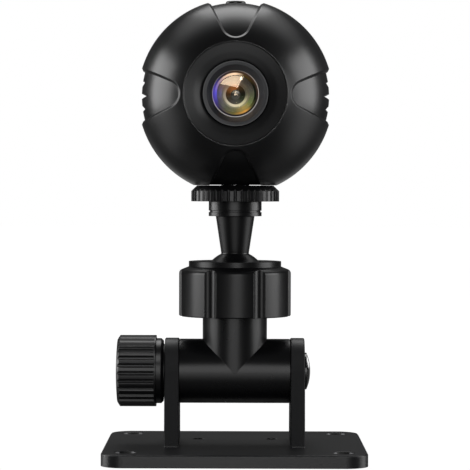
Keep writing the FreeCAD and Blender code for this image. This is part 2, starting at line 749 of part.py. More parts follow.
def make_socket_body():
    """The arm: a barrel across the hinge and, at right angles, a riser that ends in the socket."""
    body = new_body("socket_body", size.hinge_height)
    barrel = new_sketch(body, "YZ_Plane", -(ear_inside - size.face_gap * 2))
    add_circle(barrel, zero, zero, size.arm_radius)
    pad(body, barrel, (ear_inside - size.face_gap * 2) * 2)
    riser = new_sketch(body, "XZ_Plane")
    flare = ball_rise - size.collar_bottom
    rim = ball_rise + size.socket_rim
    add_outline(riser, [
        (0, 0),
        (size.riser_radius, 0),
        (size.riser_radius, flare),
        (size.neck_radius, flare + size.neck_flare),
        (size.neck_radius, rim),
        (0, rim),
    ])
    turn(body, riser, "V_Axis")
    socket = new_sketch(body, "XZ_Plane")
    floor = ball_rise - seat_bottom - size.face_gap
    add_outline(socket, [
        (0, floor),
        (size.socket_floor_radius, floor),
        (size.socket_bore, ball_rise - size.socket_taper_top),
        (size.socket_bore, rim + size.socket_rim),
        (0, rim + size.socket_rim),
    ])
    turn(body, socket, "V_Axis", "Groove")
    hole = new_sketch(body, "YZ_Plane")
    add_circle(hole, zero, zero, hinge_bore)
    cut(body, hole)


def make_ball_seat():
    """Slippery cup under the ball. It turns in the socket with the ball."""
    body = new_body("ball_seat", size.ball_height)
    profile = new_sketch(body, "XZ_Plane")
    lip = -size.socket_rim / 2
    add_outline(profile, [
        (0, -seat_bottom),
        (size.socket_floor_radius - size.face_gap, -seat_bottom),
        (seat_outside, -size.socket_taper_top),
        (seat_outside, lip),
        (other_leg(seat_inside, lip), lip, "y"),
        Arc(0, 0, seat_inside, clockwise=True),
        (0, -seat_inside, "x"),
    ])
    turn(body, profile, "V_Axis")


def make_seat_ring():
    """Slippery ring that the collar presses down on the ball."""
    body = new_body("seat_ring", size.ball_height)
    profile = new_sketch(body, "XZ_Plane")
    top = size.collar_roof - size.face_gap
    add_outline(profile, [
        (other_leg(seat_inside, size.ring_bottom), size.ring_bottom, "y"),
        (size.ring_radius, size.ring_bottom),
        (size.ring_radius, top),
        (other_leg(seat_inside, top), top, "y"),
        Arc(0, 0, seat_inside, clockwise=True),
    ])
    turn(body, profile, "V_Axis")


def make_clamp_collar():
    body = new_body("clamp_collar", size.ball_height)
    profile = new_sketch(body, "XZ_Plane")
    bottom = -size.collar_bottom
    wall_top = bottom + size.collar_body
    shoulder_top = wall_top + size.collar_shoulder
    lip_top = shoulder_top + size.collar_lip
    bore = size.neck_radius + size.thread_clearance
    ledge = size.collar_radius - size.collar_lip_radius
    slope = root(ledge * ledge + size.collar_shoulder * size.collar_shoulder)
    setback = size.collar_round * ledge / (slope + size.collar_shoulder)
    round_start = wall_top - setback
    add_outline(profile, [
        (bore, bottom),
        (size.collar_radius - size.collar_edge, bottom),
        (size.collar_radius, bottom + size.collar_edge),
        (size.collar_radius, round_start, "y"),
        Arc(size.collar_radius - size.collar_round, round_start, size.collar_round),
        (size.collar_radius - setback * ledge / slope, wall_top + setback * size.collar_shoulder / slope, "x"),
        (size.collar_lip_radius, shoulder_top),
        (size.collar_lip_radius, lip_top),
        (size.collar_mouth, lip_top),
        (size.collar_throat, size.collar_roof),
        (bore, size.collar_roof),
    ])
    turn(body, profile, "V_Axis")

    # One flute: a hollow between two rounded edges that run into the wall
    flute = new_sketch(body, "XY_Plane", bottom - size.collar_edge)
    beside_front = FreeCAD.Rotation(Vector(0, 0, 1), 180 + 180 / size.flutes.value)
    flute.AttachmentOffset = FreeCAD.Placement(flute.AttachmentOffset.Base, beside_front)
    rounded = size.collar_radius + size.flute_overlap
    edge_reach = rounded - size.flute_edge
    hollow_reach = size.collar_radius - size.flute_depth + size.flute_curve
    between = size.flute_edge + size.flute_curve - size.flute_overlap
    edge_y = (edge_reach * edge_reach + hollow_reach * hollow_reach - between * between) / (hollow_reach * 2)
    edge_x = other_leg(edge_reach, edge_y)
    wall_x = edge_x * rounded / edge_reach
    wall_y = edge_y * rounded / edge_reach
    drop = hollow_reach - edge_y
    along = (between * between + size.flute_curve * size.flute_curve
             - size.flute_edge * size.flute_edge) / (between * 2)
    aside = other_leg(size.flute_curve, along)
    meet_x = (edge_x * along + drop * aside) / between
    meet_y = hollow_reach - (drop * along - edge_x * aside) / between
    outside = size.collar_radius + CLEAR
    add_outline(flute, [
        (-wall_x, wall_y, "x"),
        Arc(-edge_x, edge_y, size.flute_edge, clockwise=True),
        (-meet_x, meet_y, ""),
        Arc(0, hollow_reach, size.flute_curve),
        (meet_x, meet_y, ""),
        Arc(edge_x, edge_y, size.flute_edge, clockwise=True),
        (wall_x, wall_y, "x"),
        (wall_x, outside),
        (-wall_x, outside),
    ])
    groove = cut(body, flute, lip_top - bottom + size.collar_edge * 2, backwards=True)
    round_the_axis(body, groove, "Z_Axis", size.flutes)


def make_ball_stem():
    body = new_body("ball_stem", size.ball_height)
    profile = new_sketch(body, "XZ_Plane")
    neck = other_leg(size.ball_radius, size.stem_neck_radius)
    flange = size.stem_length
    line = flange + size.flange_line_height
    line_floor = size.flange_radius - size.flange_line_depth
    bore = size.stud_radius + size.stud_clearance
    top = flange + size.flange_height
    bore_floor = top - size.stud_root - size.stud_clearance
    add_outline(profile, [
        (0, -size.ball_radius, "x"),
        Arc(0, 0, size.ball_radius),
        (size.stem_neck_radius, neck, "x"),
        (size.stem_top_radius, flange),
        (size.flange_radius, flange),
        (size.flange_radius, line),
        (line_floor, line),
        (line_floor, line + size.flange_line_width),
        (size.flange_radius, line + size.flange_line_width),
        (size.flange_radius, top),
        (bore, top),
        (bore, bore_floor),
        (0, bore_floor),
    ])
    turn(body, profile, "V_Axis")
    ends = ((neck.value, size.stem_neck_radius.value), (flange.value, size.stem_top_radius.value))
    dress(body, "Fillet", size.stem_round, lambda edge: any(all(
        abs(spot.z - height) < NEAR and abs(math.hypot(spot.x, spot.y) - radius) < NEAR
        for spot in points_on(edge)) for height, radius in ends))


def make_threaded_stud():
    body = new_body("threaded_stud", flange_top)
    profile = new_sketch(body, "XZ_Plane")
    tip = size.stud_rise
    add_outline(profile, [
        (0, -size.stud_root),
        (size.stud_radius, -size.stud_root),
        (size.stud_radius, tip - size.stud_bevel),
        (size.stud_radius - size.stud_bevel, tip),
        (0, tip),
    ])
    turn(body, profile, "V_Axis")


def make_lock_nut():
    body = new_body("lock_nut", flange_top + size.locknut_gap)
    profile = new_sketch(body, "XZ_Plane")
    bore = size.stud_radius + size.running_clearance
    top = size.locknut_height
    add_outline(profile, [
        (bore, 0),
        (size.locknut_radius, 0),
        (size.locknut_radius, top - size.locknut_bevel_height),
        (size.locknut_radius - size.locknut_bevel_width, top),
        (bore, top),
    ])
    turn(body, profile, "V_Axis")
    groove = new_sketch(body, "XY_Plane", -size.face_gap)
    add_groove(groove, size.locknut_radius, size.locknut_groove_depth, size.locknut_groove_width,
               size.locknut_groove_floor)
    notch = cut(body, groove, size.locknut_height * THROUGH, backwards=True)
    round_the_axis(body, notch, "Z_Axis", size.locknut_ribs)


def add_ball(body, radius):
    profile = new_sketch(body, "XY_Plane")
    add_outline(profile, [
        (0, -radius, "x"),
        Arc(0, 0, radius),
        (0, radius, "x"),
    ])
    turn(body, profile, "V_Axis")


def shape_ball(body):
    """The whole ball with its four recesses, side grooves and flat foot."""
    add_ball(body, size.head_radius)
    recess = new_sketch(body, "XZ_Plane")
    round_centre = size.petal_tip + size.petal_round
    touch_x = size.petal_round * cosine(size.petal_angle)
    touch_z = round_centre - size.petal_round * sine(size.petal_angle)
    end_z = size.head_radius + CLEAR
    end_x = touch_x + (end_z - touch_z) * sine(size.petal_angle) / cosine(size.petal_angle)
    add_outline(recess, [
        (end_x, end_z),
        (-end_x, end_z),
        (-touch_x, touch_z, "y"),
        Arc(0, round_centre, size.petal_round),
        (touch_x, touch_z, "y"),
    ])
    petal = cut(body, recess)
    round_the_axis(body, petal, "Y_Axis", 4)
    add_ball(body, size.petal_radius)
    reach = size.head_radius.value

    def petal_edge(edge):
        spots = points_on(edge)
        on_ball = all(abs(spot.Length - reach) < NEAR for spot in spots)
        return on_ball and max(abs(spot.y) for spot in spots) < reach - NEAR

    dress(body, "Chamfer", size.petal_slope, petal_edge)

    # Straight V grooves across the two side recesses
    grooves = new_sketch(body, "XZ_Plane")
    top = size.head_radius + CLEAR
    half = size.slot_width / 2 * (top - size.slot_floor) / (size.petal_radius - size.slot_floor)
    add_outline(grooves, [(size.slot_floor, 0), (top, -half), (top, half)])
    inner_edge = size.line_offset - size.line_inward
    outer_edge = size.line_offset + size.line_outward
    for side in (-1, 1):
        add_outline(grooves, [
            (size.line_floor, size.line_offset * side),
            (size.line_rim, inner_edge * side),
            (top, inner_edge * side),
            (top, outer_edge * side),
            (size.line_rim, outer_edge * side),
        ])
    slots = cut(body, grooves)
    mirror(body, [slots], "YZ_Plane")

    foot = new_sketch(body, "XZ_Plane")
    add_rectangle(foot, -size.head_radius, size.head_radius, -size.head_radius - CLEAR, -size.head_flat)
    cut(body, foot)


def keep_half(body, seam, front):
    """Cut the ball across at the seam and keep the front or the back."""
    half = new_sketch(body, "XZ_Plane", -seam)
    add_circle(half, zero, zero, size.head_radius * 2)
    cut(body, half, size.head_radius * 2, backwards=not front)


def hollow(body, front_wall=None, back_wall=None):
    """The room inside the ball, up to a flat wall at the front or back."""
    room = new_sketch(body, "XY_Plane")
    inside = size.head_inside
    if front_wall is not None:
        add_outline(room, [
            (0, -front_wall),
            (other_leg(inside, front_wall), -front_wall, "y"),
            Arc(0, 0, inside),
            (other_leg(inside, size.parting), size.parting, "y"),
            (0, size.parting),
        ])
    else:
        add_outline(room, [
            (0, size.parting),
            (other_leg(inside, size.parting), size.parting, "y"),
            Arc(0, 0, inside),
            (other_leg(inside, back_wall), back_wall, "y"),
            (0, back_wall),
        ])
    turn(body, room, "V_Axis", "Groove")


def cut_channel(body):
    channel = new_sketch(body, "XZ_Plane")
    half = size.channel_width / 2
    add_rectangle(channel, -half, half, -size.head_flat - CLEAR, -size.head_flat + size.channel_depth)
    cut(body, channel)


def make_front_shell():
    body = new_body("front_shell", head_height)
    shape_ball(body)
    keep_half(body, size.parting, front=True)

    # Dish round the lens with the hole for the lens barrel
    dish = new_sketch(body, "XY_Plane")
    edge = size.dish_radius
    face = -other_leg(size.head_radius, edge)
    front = -size.head_radius - CLEAR
    bead = size.dish_bead
    crest = edge + bead
    crest_y = -other_leg(size.head_radius, crest)
    groove_edge = crest + bead
    add_outline(dish, [
        (0, front),
        (groove_edge, front),
        (groove_edge, -other_leg(size.head_radius, groove_edge)),
        (crest + bead / 2, crest_y + bead / 2),
        (crest, crest_y, "x"),
        Arc(crest, crest_y + bead, bead, clockwise=True),
        (edge, crest_y + bead, "y"),
        (size.dish_knee_radius, face + size.dish_knee_depth),
        (size.lens_hole, face + size.dish_depth),
        (size.lens_hole, -size.barrel_step),
        (0, -size.barrel_step),
    ])
    turn(body, dish, "V_Axis", "Groove")
    hollow(body, front_wall=size.front_wall)

    # Posts for the two shell screws
    posts = new_sketch(body, "XZ_Plane", -size.frame_front)
    for side in (-1, 1):
        add_circle(posts, size.post_side * side, -size.post_down, size.post_radius)
    pad(body, posts, size.frame_front + size.post_front)
    pilots = new_sketch(body, "XZ_Plane", -size.frame_front)
    for side in (-1, 1):
        add_circle(pilots, size.post_side * side, -size.post_down,
                   size.shell_screw_radius + size.face_gap)
    cut(body, pilots, size.frame_front + size.pilot_depth, backwards=True)

    # Boss and hole for the threaded insert in the foot
    boss = new_sketch(body, "XY_Plane", -size.head_flat + size.channel_depth)
    add_circle(boss, zero, zero, size.boss_radius)
    pad(body, boss, size.head_flat - size.channel_depth - size.boss_top)
    cut_channel(body)
    hole = new_sketch(body, "XY_Plane", -size.head_flat - CLEAR)
    add_circle(hole, zero, zero, size.insert_radius + size.insert_fit)
    cut(body, hole, size.insert_height + size.channel_depth + size.face_gap + CLEAR, backwards=True)

    # Hole for the power button
    opening = new_sketch(body, "XY_Plane", size.button_bottom)
    add_circle(opening, zero, zero, size.button_radius + size.running_clearance)
    cut(body, opening, size.head_radius - size.button_bottom, backwards=True)


usb_low = -(size.board_thickness / 2 + size.usb_height)
usb_high = -(size.board_thickness / 2)
usb_mouth = size.panel_floor - size.usb_recess


def make_rear_shell():
    body = new_body("rear_shell", head_height)
    shape_ball(body)
    keep_half(body, size.parting + size.seam_gap, front=False)
    inner_face = size.panel_floor - size.panel_wall
    hollow(body, back_wall=inner_face)

    # Flat recess with the charging socket, the card slot and the reset pinhole
    recess = new_sketch(body, "XZ_Plane", -size.panel_floor)
    add_circle(recess, zero, zero, size.panel_radius)
    cut(body, recess, size.head_radius)
    cut_channel(body)
    slots = new_sketch(body, "XZ_Plane", -size.panel_floor)
    gap = size.usb_gap
    half = size.usb_width / 2 + gap
    add_rectangle(slots, -half, half, usb_low - gap, usb_high + gap)
    card = size.card_mouth_width / 2
    card_low = size.board_thickness / 2 + size.card_height / 2 - size.card_mouth_height / 2
    add_rectangle(slots, -card, card, card_low, card_low + size.card_mouth_height)
    add_circle(slots, size.reset_out, -size.reset_down, size.reset_radius)
    cut(body, slots, size.panel_wall * 2, backwards=True)

    # Lip that centres the two shells on each other
    lip = new_sketch(body, "XY_Plane")
    lip_outside = other_leg(size.head_inside, size.parting) - size.lip_gap
    lip_inside = lip_outside - size.lip_thickness
    root_y = size.parting + size.lip_thickness * 2
    add_outline(lip, [
        (lip_inside, size.parting - size.lip_length),
        (lip_outside, size.parting - size.lip_length),
        (lip_outside, size.parting),
        (other_leg(size.head_inside + size.lip_gap, root_y), root_y),
        (lip_inside, root_y - size.lip_thickness),
    ])
    turn(body, lip, "V_Axis")
    boss_room = new_sketch(body, "XY_Plane", -size.head_flat + size.channel_depth)
    add_circle(boss_room, zero, zero, size.boss_radius + size.boss_gap)
    cut(body, boss_room, size.head_flat - size.channel_depth, backwards=True)

    # Screw posts with their holes and head seats
    posts = new_sketch(body, "XZ_Plane", -(size.frame_front + size.frame_thickness + size.face_gap))
    for side in (-1, 1):
        add_circle(posts, size.post_side * side, -size.post_down, size.post_radius)
    pad(body, posts, size.shell_screw_seat, backwards=True)
    screw_holes = new_sketch(body, "XZ_Plane")
    for side in (-1, 1):
        add_circle(screw_holes, size.post_side * side, -size.post_down,
                   size.shell_screw_radius + size.face_gap)
    cut(body, screw_holes, size.head_radius)
    seats = new_sketch(body, "XZ_Plane", -size.shell_screw_seat)
    for side in (-1, 1):
        add_circle(seats, size.post_side * side, -size.post_down,
                   size.shell_screw_head + size.face_gap * 2)
    cut(body, seats, size.head_radius)


def make_shell_screws():
    screws = []
    for side, name in ((-1, "left"), (1, "right")):
        shank = rod(f"screw_shank_{name}", size.shell_screw_radius, size.post_side * side,
                    size.shell_screw_seat - size.shell_screw_length, -size.post_down,
                    size.shell_screw_length, "y")
        head = rod(f"screw_head_{name}", size.shell_screw_head, size.post_side * side,
                   size.shell_screw_seat + size.face_gap, -size.post_down,
                   size.shell_screw_head_height, "y")
        bind(shank, "Height", size.shell_screw_length + size.face_gap)
        screws.append(joined("Fuse", f"screw_{name}", shank, [head]))
    group = doc.addObject("Part::Compound", "shell_screws")
    group.Links = screws
    finish("shell_screws", group)


def make_tripod_insert():
    body = new_body("tripod_insert", head_height)
    profile = new_sketch(body, "XZ_Plane")
    bore = size.stud_radius + size.running_clearance
    bottom = -size.head_flat + size.channel_depth
    top = bottom + size.insert_height
    waist = size.insert_radius - size.insert_waist
    middle = bottom + size.insert_height / 2
    half = size.insert_waist_width / 2
    add_outline(profile, [
        (bore, bottom),
        (size.insert_radius, bottom),
        (size.insert_radius, middle - half),
        (waist, middle - half),
        (waist, middle + half),
        (size.insert_radius, middle + half),
        (size.insert_radius, top),
        (bore, top),
    ])
    turn(body, profile, "V_Axis")


ring_front = size.glass_seat
glass_front = ring_front - size.ring_height
stop_back = size.stop_front - size.stop_thickness
rear_lens_back = size.rear_lens_front - size.rear_lens_thickness


def make_lens_barrel():
    """Cone in front, seats for the glass in the middle, threaded tail behind."""
    body = new_body("lens_barrel", head_height)
    profile = new_sketch(body, "XY_Plane")
    glass_hole = size.glass_radius + size.lens_fit
    stop_hole = size.stop_radius + size.lens_fit
    glass_back = glass_front - size.glass_edge - size.lens_fit
    tunnel = size.tunnel_radius
    rear_hole = size.rear_lens_radius + size.lens_fit
    add_outline(profile, [
        (size.barrel_radius - size.barrel_rim, -size.barrel_front),
        (size.barrel_radius, -size.barrel_front),
        (size.barrel_radius, -size.barrel_step),
        (size.barrel_tail_radius, -size.barrel_step),
        (size.barrel_tail_radius, -size.barrel_tail_end),
        (rear_hole, -size.barrel_tail_end),
        (rear_hole, -(size.rear_lens_front + size.lens_fit)),
        (tunnel, -(size.rear_lens_front + size.lens_fit)),
        (tunnel, -stop_back),
        (stop_hole, -stop_back),
        (stop_hole, -glass_back),
        (glass_hole, -glass_back),
        (glass_hole, -(ring_front + size.lens_fit)),
        (size.glass_seat_radius, -(ring_front + size.lens_fit)),
        (size.barrel_slope_radius, size.barrel_slope - size.barrel_front),
    ])
    turn(body, profile, "V_Axis")


def make_glass_ring():
    body = new_body("glass_ring", head_height)
    profile = new_sketch(body, "XY_Plane")
    back = -glass_front - size.lens_fit
    land = size.glass_radius - size.ring_land
    count = int(size.ring_steps.value)
    tread = (land - size.ring_opening) / count
    rise = (ring_front - glass_front - size.lens_fit) / (count + 1)
    outline = [(size.ring_opening, back), (size.glass_radius, back), (size.glass_radius, -ring_front)]
    for step in range(count):
        outline.append((land - tread * step, rise * step - ring_front))
        outline.append((land - tread * step, rise * (step + 1) - ring_front))
    outline.append((size.ring_opening, rise * count - ring_front))
    add_outline(profile, outline)
    turn(body, profile, "V_Axis")


def make_front_glass():
    body = new_body("front_glass", head_height)
    profile = new_sketch(body, "XY_Plane")
    flat = size.ring_opening - size.lens_fit * 2
    curve = (flat * flat + size.glass_bulge * size.glass_bulge) / (size.glass_bulge * 2)
    crown = glass_front + size.glass_bulge
    back = glass_front - size.glass_edge
    add_outline(profile, [
        (0, -crown, "x"),
        Arc(0, curve - crown, curve),
        (flat, -glass_front, "y"),
        (size.glass_radius, -glass_front),
        (size.glass_radius, -back),
        (0, -back),
    ])
    turn(body, profile, "V_Axis")


def make_aperture_disc():
    body = new_body("aperture_disc", head_height)
    profile = new_sketch(body, "XY_Plane")
    add_outline(profile, [
        (size.stop_opening, -stop_back),
        (size.stop_radius, -stop_back),
        (size.stop_radius, -size.stop_front),
        (size.stop_opening + size.stop_cone, -size.stop_front),
    ])
    turn(body, profile, "V_Axis")


def make_rear_lens():
    body = new_body("rear_lens", head_height)
    profile = new_sketch(body, "XY_Plane")
    add_rectangle(profile, 0, size.rear_lens_radius, -size.rear_lens_front, -rear_lens_back)
    turn(body, profile, "V_Axis")


board_back = size.frame_front
board_front = size.frame_front - size.board_thickness
holder_back = board_front
holder_step = holder_back - size.holder_foot


def make_lens_holder():
    half = size.holder_square / 2
    foot = block("holder_foot_block", (-half, half), (holder_step, holder_back), (-half, half))
    tube = rod("holder_tube", size.holder_radius, zero, -size.holder_front, zero,
               size.holder_front + holder_step, "y")
    window_front = -(size.filter_front + size.lens_fit)
    bore = rod("holder_bore", size.barrel_tail_radius + size.lens_fit, zero, -size.holder_front - CLEAR, zero,
               size.holder_front + window_front + CLEAR, "y")
    window_half = size.holder_window / 2
    window = block("holder_window_block", (-window_half, window_half),
                   (window_front, holder_back + CLEAR), (-window_half, window_half))
    bored = joined("Cut", "lens_holder", joined("Fuse", "lens_holder", foot, [tube]), [bore, window])
    finish("lens_holder", bored)


def make_infrared_filter():
    half = size.filter_size / 2
    front = -size.filter_front
    finish("infrared_filter", block("infrared_filter", (-half, half),
                                    (front, front + size.filter_thickness), (-half, half)))


def make_image_sensor():
    half = size.sensor_size / 2
    finish("image_sensor", block("image_sensor", (-half, half),
                                 (board_front - size.sensor_thickness, board_front), (-half, half)))


def make_sensor_board():
    half = size.sensor_board_size / 2
    finish("sensor_board", block("sensor_board", (-half, half), (board_front, board_back), (-half, half)))


frame_back = size.frame_front + size.frame_thickness
board_edge = size.main_board_width / 2 + size.rail_gap
battery_bottom = -(size.battery_top + size.battery_height)
shelf_top = size.button_board_top - size.board_thickness


def make_inner_frame():
    """Round plate across the ball with rails for the main board, a battery ledge and a button shelf."""
    plate = rod("frame_plate", size.frame_radius, zero, size.frame_front, zero, size.frame_thickness, "y")
    rail_half = size.rail_height / 2
    left = block("rail_left", (-(board_edge + size.rail_thickness), -board_edge),
                 (frame_back, frame_back + size.rail_length), (-rail_half, rail_half))
    right = block("rail_right", (board_edge, board_edge + size.rail_thickness),
                  (frame_back, frame_back + size.rail_length), (-rail_half, rail_half))
    half = size.battery_width / 2
    tray = block("battery_ledge", (-half, half), (frame_back, frame_back + size.battery_depth),
                 (battery_bottom - size.face_gap - size.tray_thickness, battery_bottom - size.face_gap))
    shelf_half = size.button_board_width / 2
    shelf = block("button_shelf", (-shelf_half, shelf_half),
                  (-size.button_board_depth / 2, size.frame_front + size.face_gap),
                  (shelf_top - size.shelf_thickness, shelf_top))
    holes = []
    for side, name in ((-1, "left"), (1, "right")):
        holes.append(rod(f"frame_hole_{name}", size.shell_screw_radius + size.face_gap * 2,
                         size.post_side * side, zero, -size.post_down, frame_back + CLEAR, "y"))
    boss_half = size.boss_radius + size.boss_gap
    boss_notch = block("boss_notch", (-boss_half, boss_half), (zero, frame_back + CLEAR),
                       (-size.head_radius, -size.boss_top + size.boss_gap))
    switch_half = shelf_half + size.boss_gap
    switch_notch = block("switch_notch", (-switch_half, switch_half), (zero, frame_back + CLEAR),
                         (shelf_top, size.head_radius))
    holes += [boss_notch, switch_notch]
    solid = joined("Fuse", "inner_frame", plate, [left, right, tray, shelf])
    finish("inner_frame", joined("Cut", "inner_frame", solid, holes))


def make_main_board():
    half = size.main_board_width / 2
    front = frame_back + size.face_gap
    finish("main_board", block("main_board", (-half, half), (front, front + size.main_board_length),
                               (-size.board_thickness / 2, size.board_thickness / 2)))


def make_usb_socket():
    half = size.usb_width / 2
    wall = size.usb_wall
    case = block("usb_case", (-half, half), (usb_mouth - size.usb_length, usb_mouth), (usb_low, usb_high))
    room = block("usb_room", (-half + wall, half - wall),
                 (usb_mouth - size.usb_length + wall, usb_mouth + CLEAR),
                 (usb_low + wall, usb_high - wall))
    tongue_half = size.usb_tongue_width / 2
    tongue_middle = (usb_low + usb_high) / 2
    tongue = block("usb_tongue", (-tongue_half, tongue_half),
                   (usb_mouth - size.usb_length + wall / 2, usb_mouth - size.usb_tongue_back),
                   (tongue_middle - size.usb_tongue_height / 2, tongue_middle + size.usb_tongue_height / 2))
    finish("usb_socket", joined("Fuse", "usb_socket", joined("Cut", "usb_socket", case, [room]), [tongue]))


def make_card_socket():
    half = size.card_width / 2
    low = size.board_thickness / 2
    front = frame_back + size.face_gap
    case = block("card_case", (-half, half), (front, front + size.card_length), (low, low + size.card_height))
    mouth = size.card_mouth_width / 2
    slot_low = low + size.card_height / 2 - size.card_mouth_height / 2
    room = block("card_room", (-mouth, mouth), (front + size.usb_wall, front + size.card_length + CLEAR),
                 (slot_low, slot_low + size.card_mouth_height))
    finish("card_socket", joined("Cut", "card_socket", case, [room]))


def make_battery():
    half = size.battery_width / 2
    front = frame_back + size.face_gap
    cell = block("battery_cell", (-half, half), (front, front + size.battery_depth),
                 (battery_bottom, -size.battery_top))
    doc.recompute()
    rounded = doc.addObject("Part::Fillet", "battery")
    rounded.Base = cell
    along = [rank for rank, edge in enumerate(cell.Shape.Edges, start=1)
             if abs(edge.tangentAt(edge.FirstParameter).x) > ALONG]
    rounded.Edges = [(rank, size.battery_round.value, size.battery_round.value) for rank in along]
    finish("battery", rounded)


def make_wireless_antenna():
    finish("wireless_antenna", block(
        "wireless_antenna", (size.antenna_side, size.antenna_side + size.antenna_width),
        (size.frame_front - size.antenna_thickness, size.frame_front),
        (size.antenna_up, size.antenna_up + size.antenna_height)))


def make_power_button():
    body = new_body("power_button", head_height)
    profile = new_sketch(body, "XZ_Plane")
    top = size.petal_radius + size.button_rise
    flange_low = size.button_flange_top - size.button_flange
    add_outline(profile, [
        (0, size.button_bottom),
        (size.button_radius, size.button_bottom),
        (size.button_radius, flange_low),
        (size.button_flange_radius, flange_low),
        (size.button_flange_radius, size.button_flange_top),
        (size.button_radius, size.button_flange_top),
        (size.button_radius, top - size.button_edge),
        (size.button_radius - size.button_edge, top),
        (0, top),
    ])
    turn(body, profile, "V_Axis")


def make_button_switch():
    half = size.switch_size / 2
    low = size.button_board_top
    case = block("switch_case", (-half, half), (-half, half), (low, low + size.switch_height))
    hole = rod("switch_hole", size.plunger_radius + size.running_clearance, zero, zero,
               low + size.switch_floor, size.switch_height, "z")
    finish("button_switch", joined("Cut", "button_switch", case, [hole]))


def make_switch_plunger():
    finish("switch_plunger", rod("switch_plunger", size.plunger_radius, zero, zero,
                                 size.button_bottom - size.plunger_length, size.plunger_length, "z"))


def make_button_board():
    half_width = size.button_board_width / 2
    half_depth = size.button_board_depth / 2
    finish("button_board", block("button_board", (-half_width, half_width), (-half_depth, half_depth),
                                 (shelf_top, size.button_board_top)))


make_base_bracket()
make_hinge_bolt()
make_clamp_knob()
make_knob_nut()
make_thrust_washer()
make_socket_body()
make_ball_seat()
make_seat_ring()
make_clamp_collar()
make_ball_stem()
make_threaded_stud()
make_lock_nut()
make_front_shell()
make_rear_shell()
make_shell_screws()
make_tripod_insert()
make_lens_barrel()
make_glass_ring()
make_front_glass()
make_aperture_disc()
make_rear_lens()
make_lens_holder()
make_infrared_filter()
make_image_sensor()
make_sensor_board()
make_inner_frame()
make_main_board()
make_usb_socket()
make_card_socket()
make_battery()
make_wireless_antenna()
make_power_button()
make_button_switch()
make_switch_plunger()
make_button_board()
doc.recompute()

failed = [item.Label for item in doc.Objects if {"Invalid", "Error"} & set(item.State)]
if failed:
    raise RuntimeError(f"failed: {failed}")
for part in parts:
    if part.Shape.isNull() or not part.Shape.isValid():
        raise RuntimeError(f"{part.Label} has no valid shape")

os.makedirs("parts", exist_ok=True)
for part in parts:
    part.Shape.exportStep(f"parts/{part.Label}.step")
    box = part.Shape.BoundBox
    print(f"{part.Label}: {len(part.Shape.Solids)} solid, {part.Shape.Volume:.1f} mm3, "
          f"x {box.XMin:.2f} {box.XMax:.2f}, y {box.YMin:.2f} {box.YMax:.2f}, "
          f"z {box.ZMin:.2f} {box.ZMax:.2f}")
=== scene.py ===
import math

import bmesh
import bpy
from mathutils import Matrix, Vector


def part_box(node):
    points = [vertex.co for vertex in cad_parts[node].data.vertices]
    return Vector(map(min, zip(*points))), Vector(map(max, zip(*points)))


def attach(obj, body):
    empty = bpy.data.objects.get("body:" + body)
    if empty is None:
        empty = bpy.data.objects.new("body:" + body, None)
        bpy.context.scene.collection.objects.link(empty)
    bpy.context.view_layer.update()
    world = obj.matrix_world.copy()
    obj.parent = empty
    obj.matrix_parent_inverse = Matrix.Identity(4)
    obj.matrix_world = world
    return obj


# Looks of the mini security camera. Lengths are metres in the model's own frame, or mm where a comment
# says so: +Z up, the lens looks along -Y, and the origin is under the middle of the base plate.
# Named angles are degrees.

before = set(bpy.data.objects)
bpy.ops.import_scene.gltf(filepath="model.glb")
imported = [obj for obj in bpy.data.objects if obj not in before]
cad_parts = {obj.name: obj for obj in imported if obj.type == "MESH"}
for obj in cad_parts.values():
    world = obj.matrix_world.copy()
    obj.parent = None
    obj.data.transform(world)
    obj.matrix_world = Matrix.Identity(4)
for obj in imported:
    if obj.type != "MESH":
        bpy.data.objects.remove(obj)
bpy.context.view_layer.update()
MM = 0.001
WHITE = (1, 1, 1)


def middle(node):
    low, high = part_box(node)
    return (Vector(low) + Vector(high)) / 2


# The lens axis runs along Y through this place
HEAD = Vector((0, 0, middle("lens_barrel").z))

# Camera at the photograph's distance and height, looking very slightly down and leaning a little
CAMERA_PLACE = (-0.000052, -0.490, 0.060)
CAMERA_PITCH = 1.19
CAMERA_LEAN = -0.17
CAMERA_LENS = 166.2
SENSOR_WIDTH = 36
NEAREST_SEEN = 0.01


def add_camera():
    data = bpy.data.cameras.new("camera")
    data.lens = CAMERA_LENS
    data.sensor_width = SENSOR_WIDTH
    data.clip_start = NEAREST_SEEN
    camera = bpy.data.objects.new("camera", data)
    camera.location = CAMERA_PLACE
    camera.rotation_euler = (math.radians(90 - CAMERA_PITCH), math.radians(CAMERA_LEAN), 0)
    bpy.context.scene.collection.objects.link(camera)
    bpy.context.scene.camera = camera


# Lights: soft boxes at the sides, in front and above behind for most pieces, and others for single ones,
# because the photograph's light differs between camera, collar, bracket and lens
LIGHT_DISTANCE = 0.6
LIGHT_AIM = Vector((0, 0, 0.06))


def add_softbox(name, azimuth, elevation, wide, tall, strength, colour=WHITE, roll=0.0):
    """Area light seen from the object at azimuth (0 is the camera's side, + to the right) and elevation.

    wide and tall are the angles that it fills, and strength is how bright its face is.
    """
    data = bpy.data.lights.new(name, "AREA")
    data.shape = "RECTANGLE"
    data.size = 2 * LIGHT_DISTANCE * math.tan(math.radians(wide / 2))
    data.size_y = 2 * LIGHT_DISTANCE * math.tan(math.radians(tall / 2))
    data.energy = strength * data.size * data.size_y * math.pi
    data.color = colour
    lamp = bpy.data.objects.new(name, data)
    turn = math.radians(azimuth)
    rise = math.radians(elevation)
    away = Vector((math.sin(turn) * math.cos(rise), -math.cos(turn) * math.cos(rise), math.sin(rise)))
    lamp.location = LIGHT_AIM + LIGHT_DISTANCE * away
    lamp.rotation_euler = away.to_track_quat("Z", "Y").to_euler()
    lamp.rotation_euler.rotate_axis("Z", math.radians(roll))
    bpy.context.scene.collection.objects.link(lamp)
    return lamp


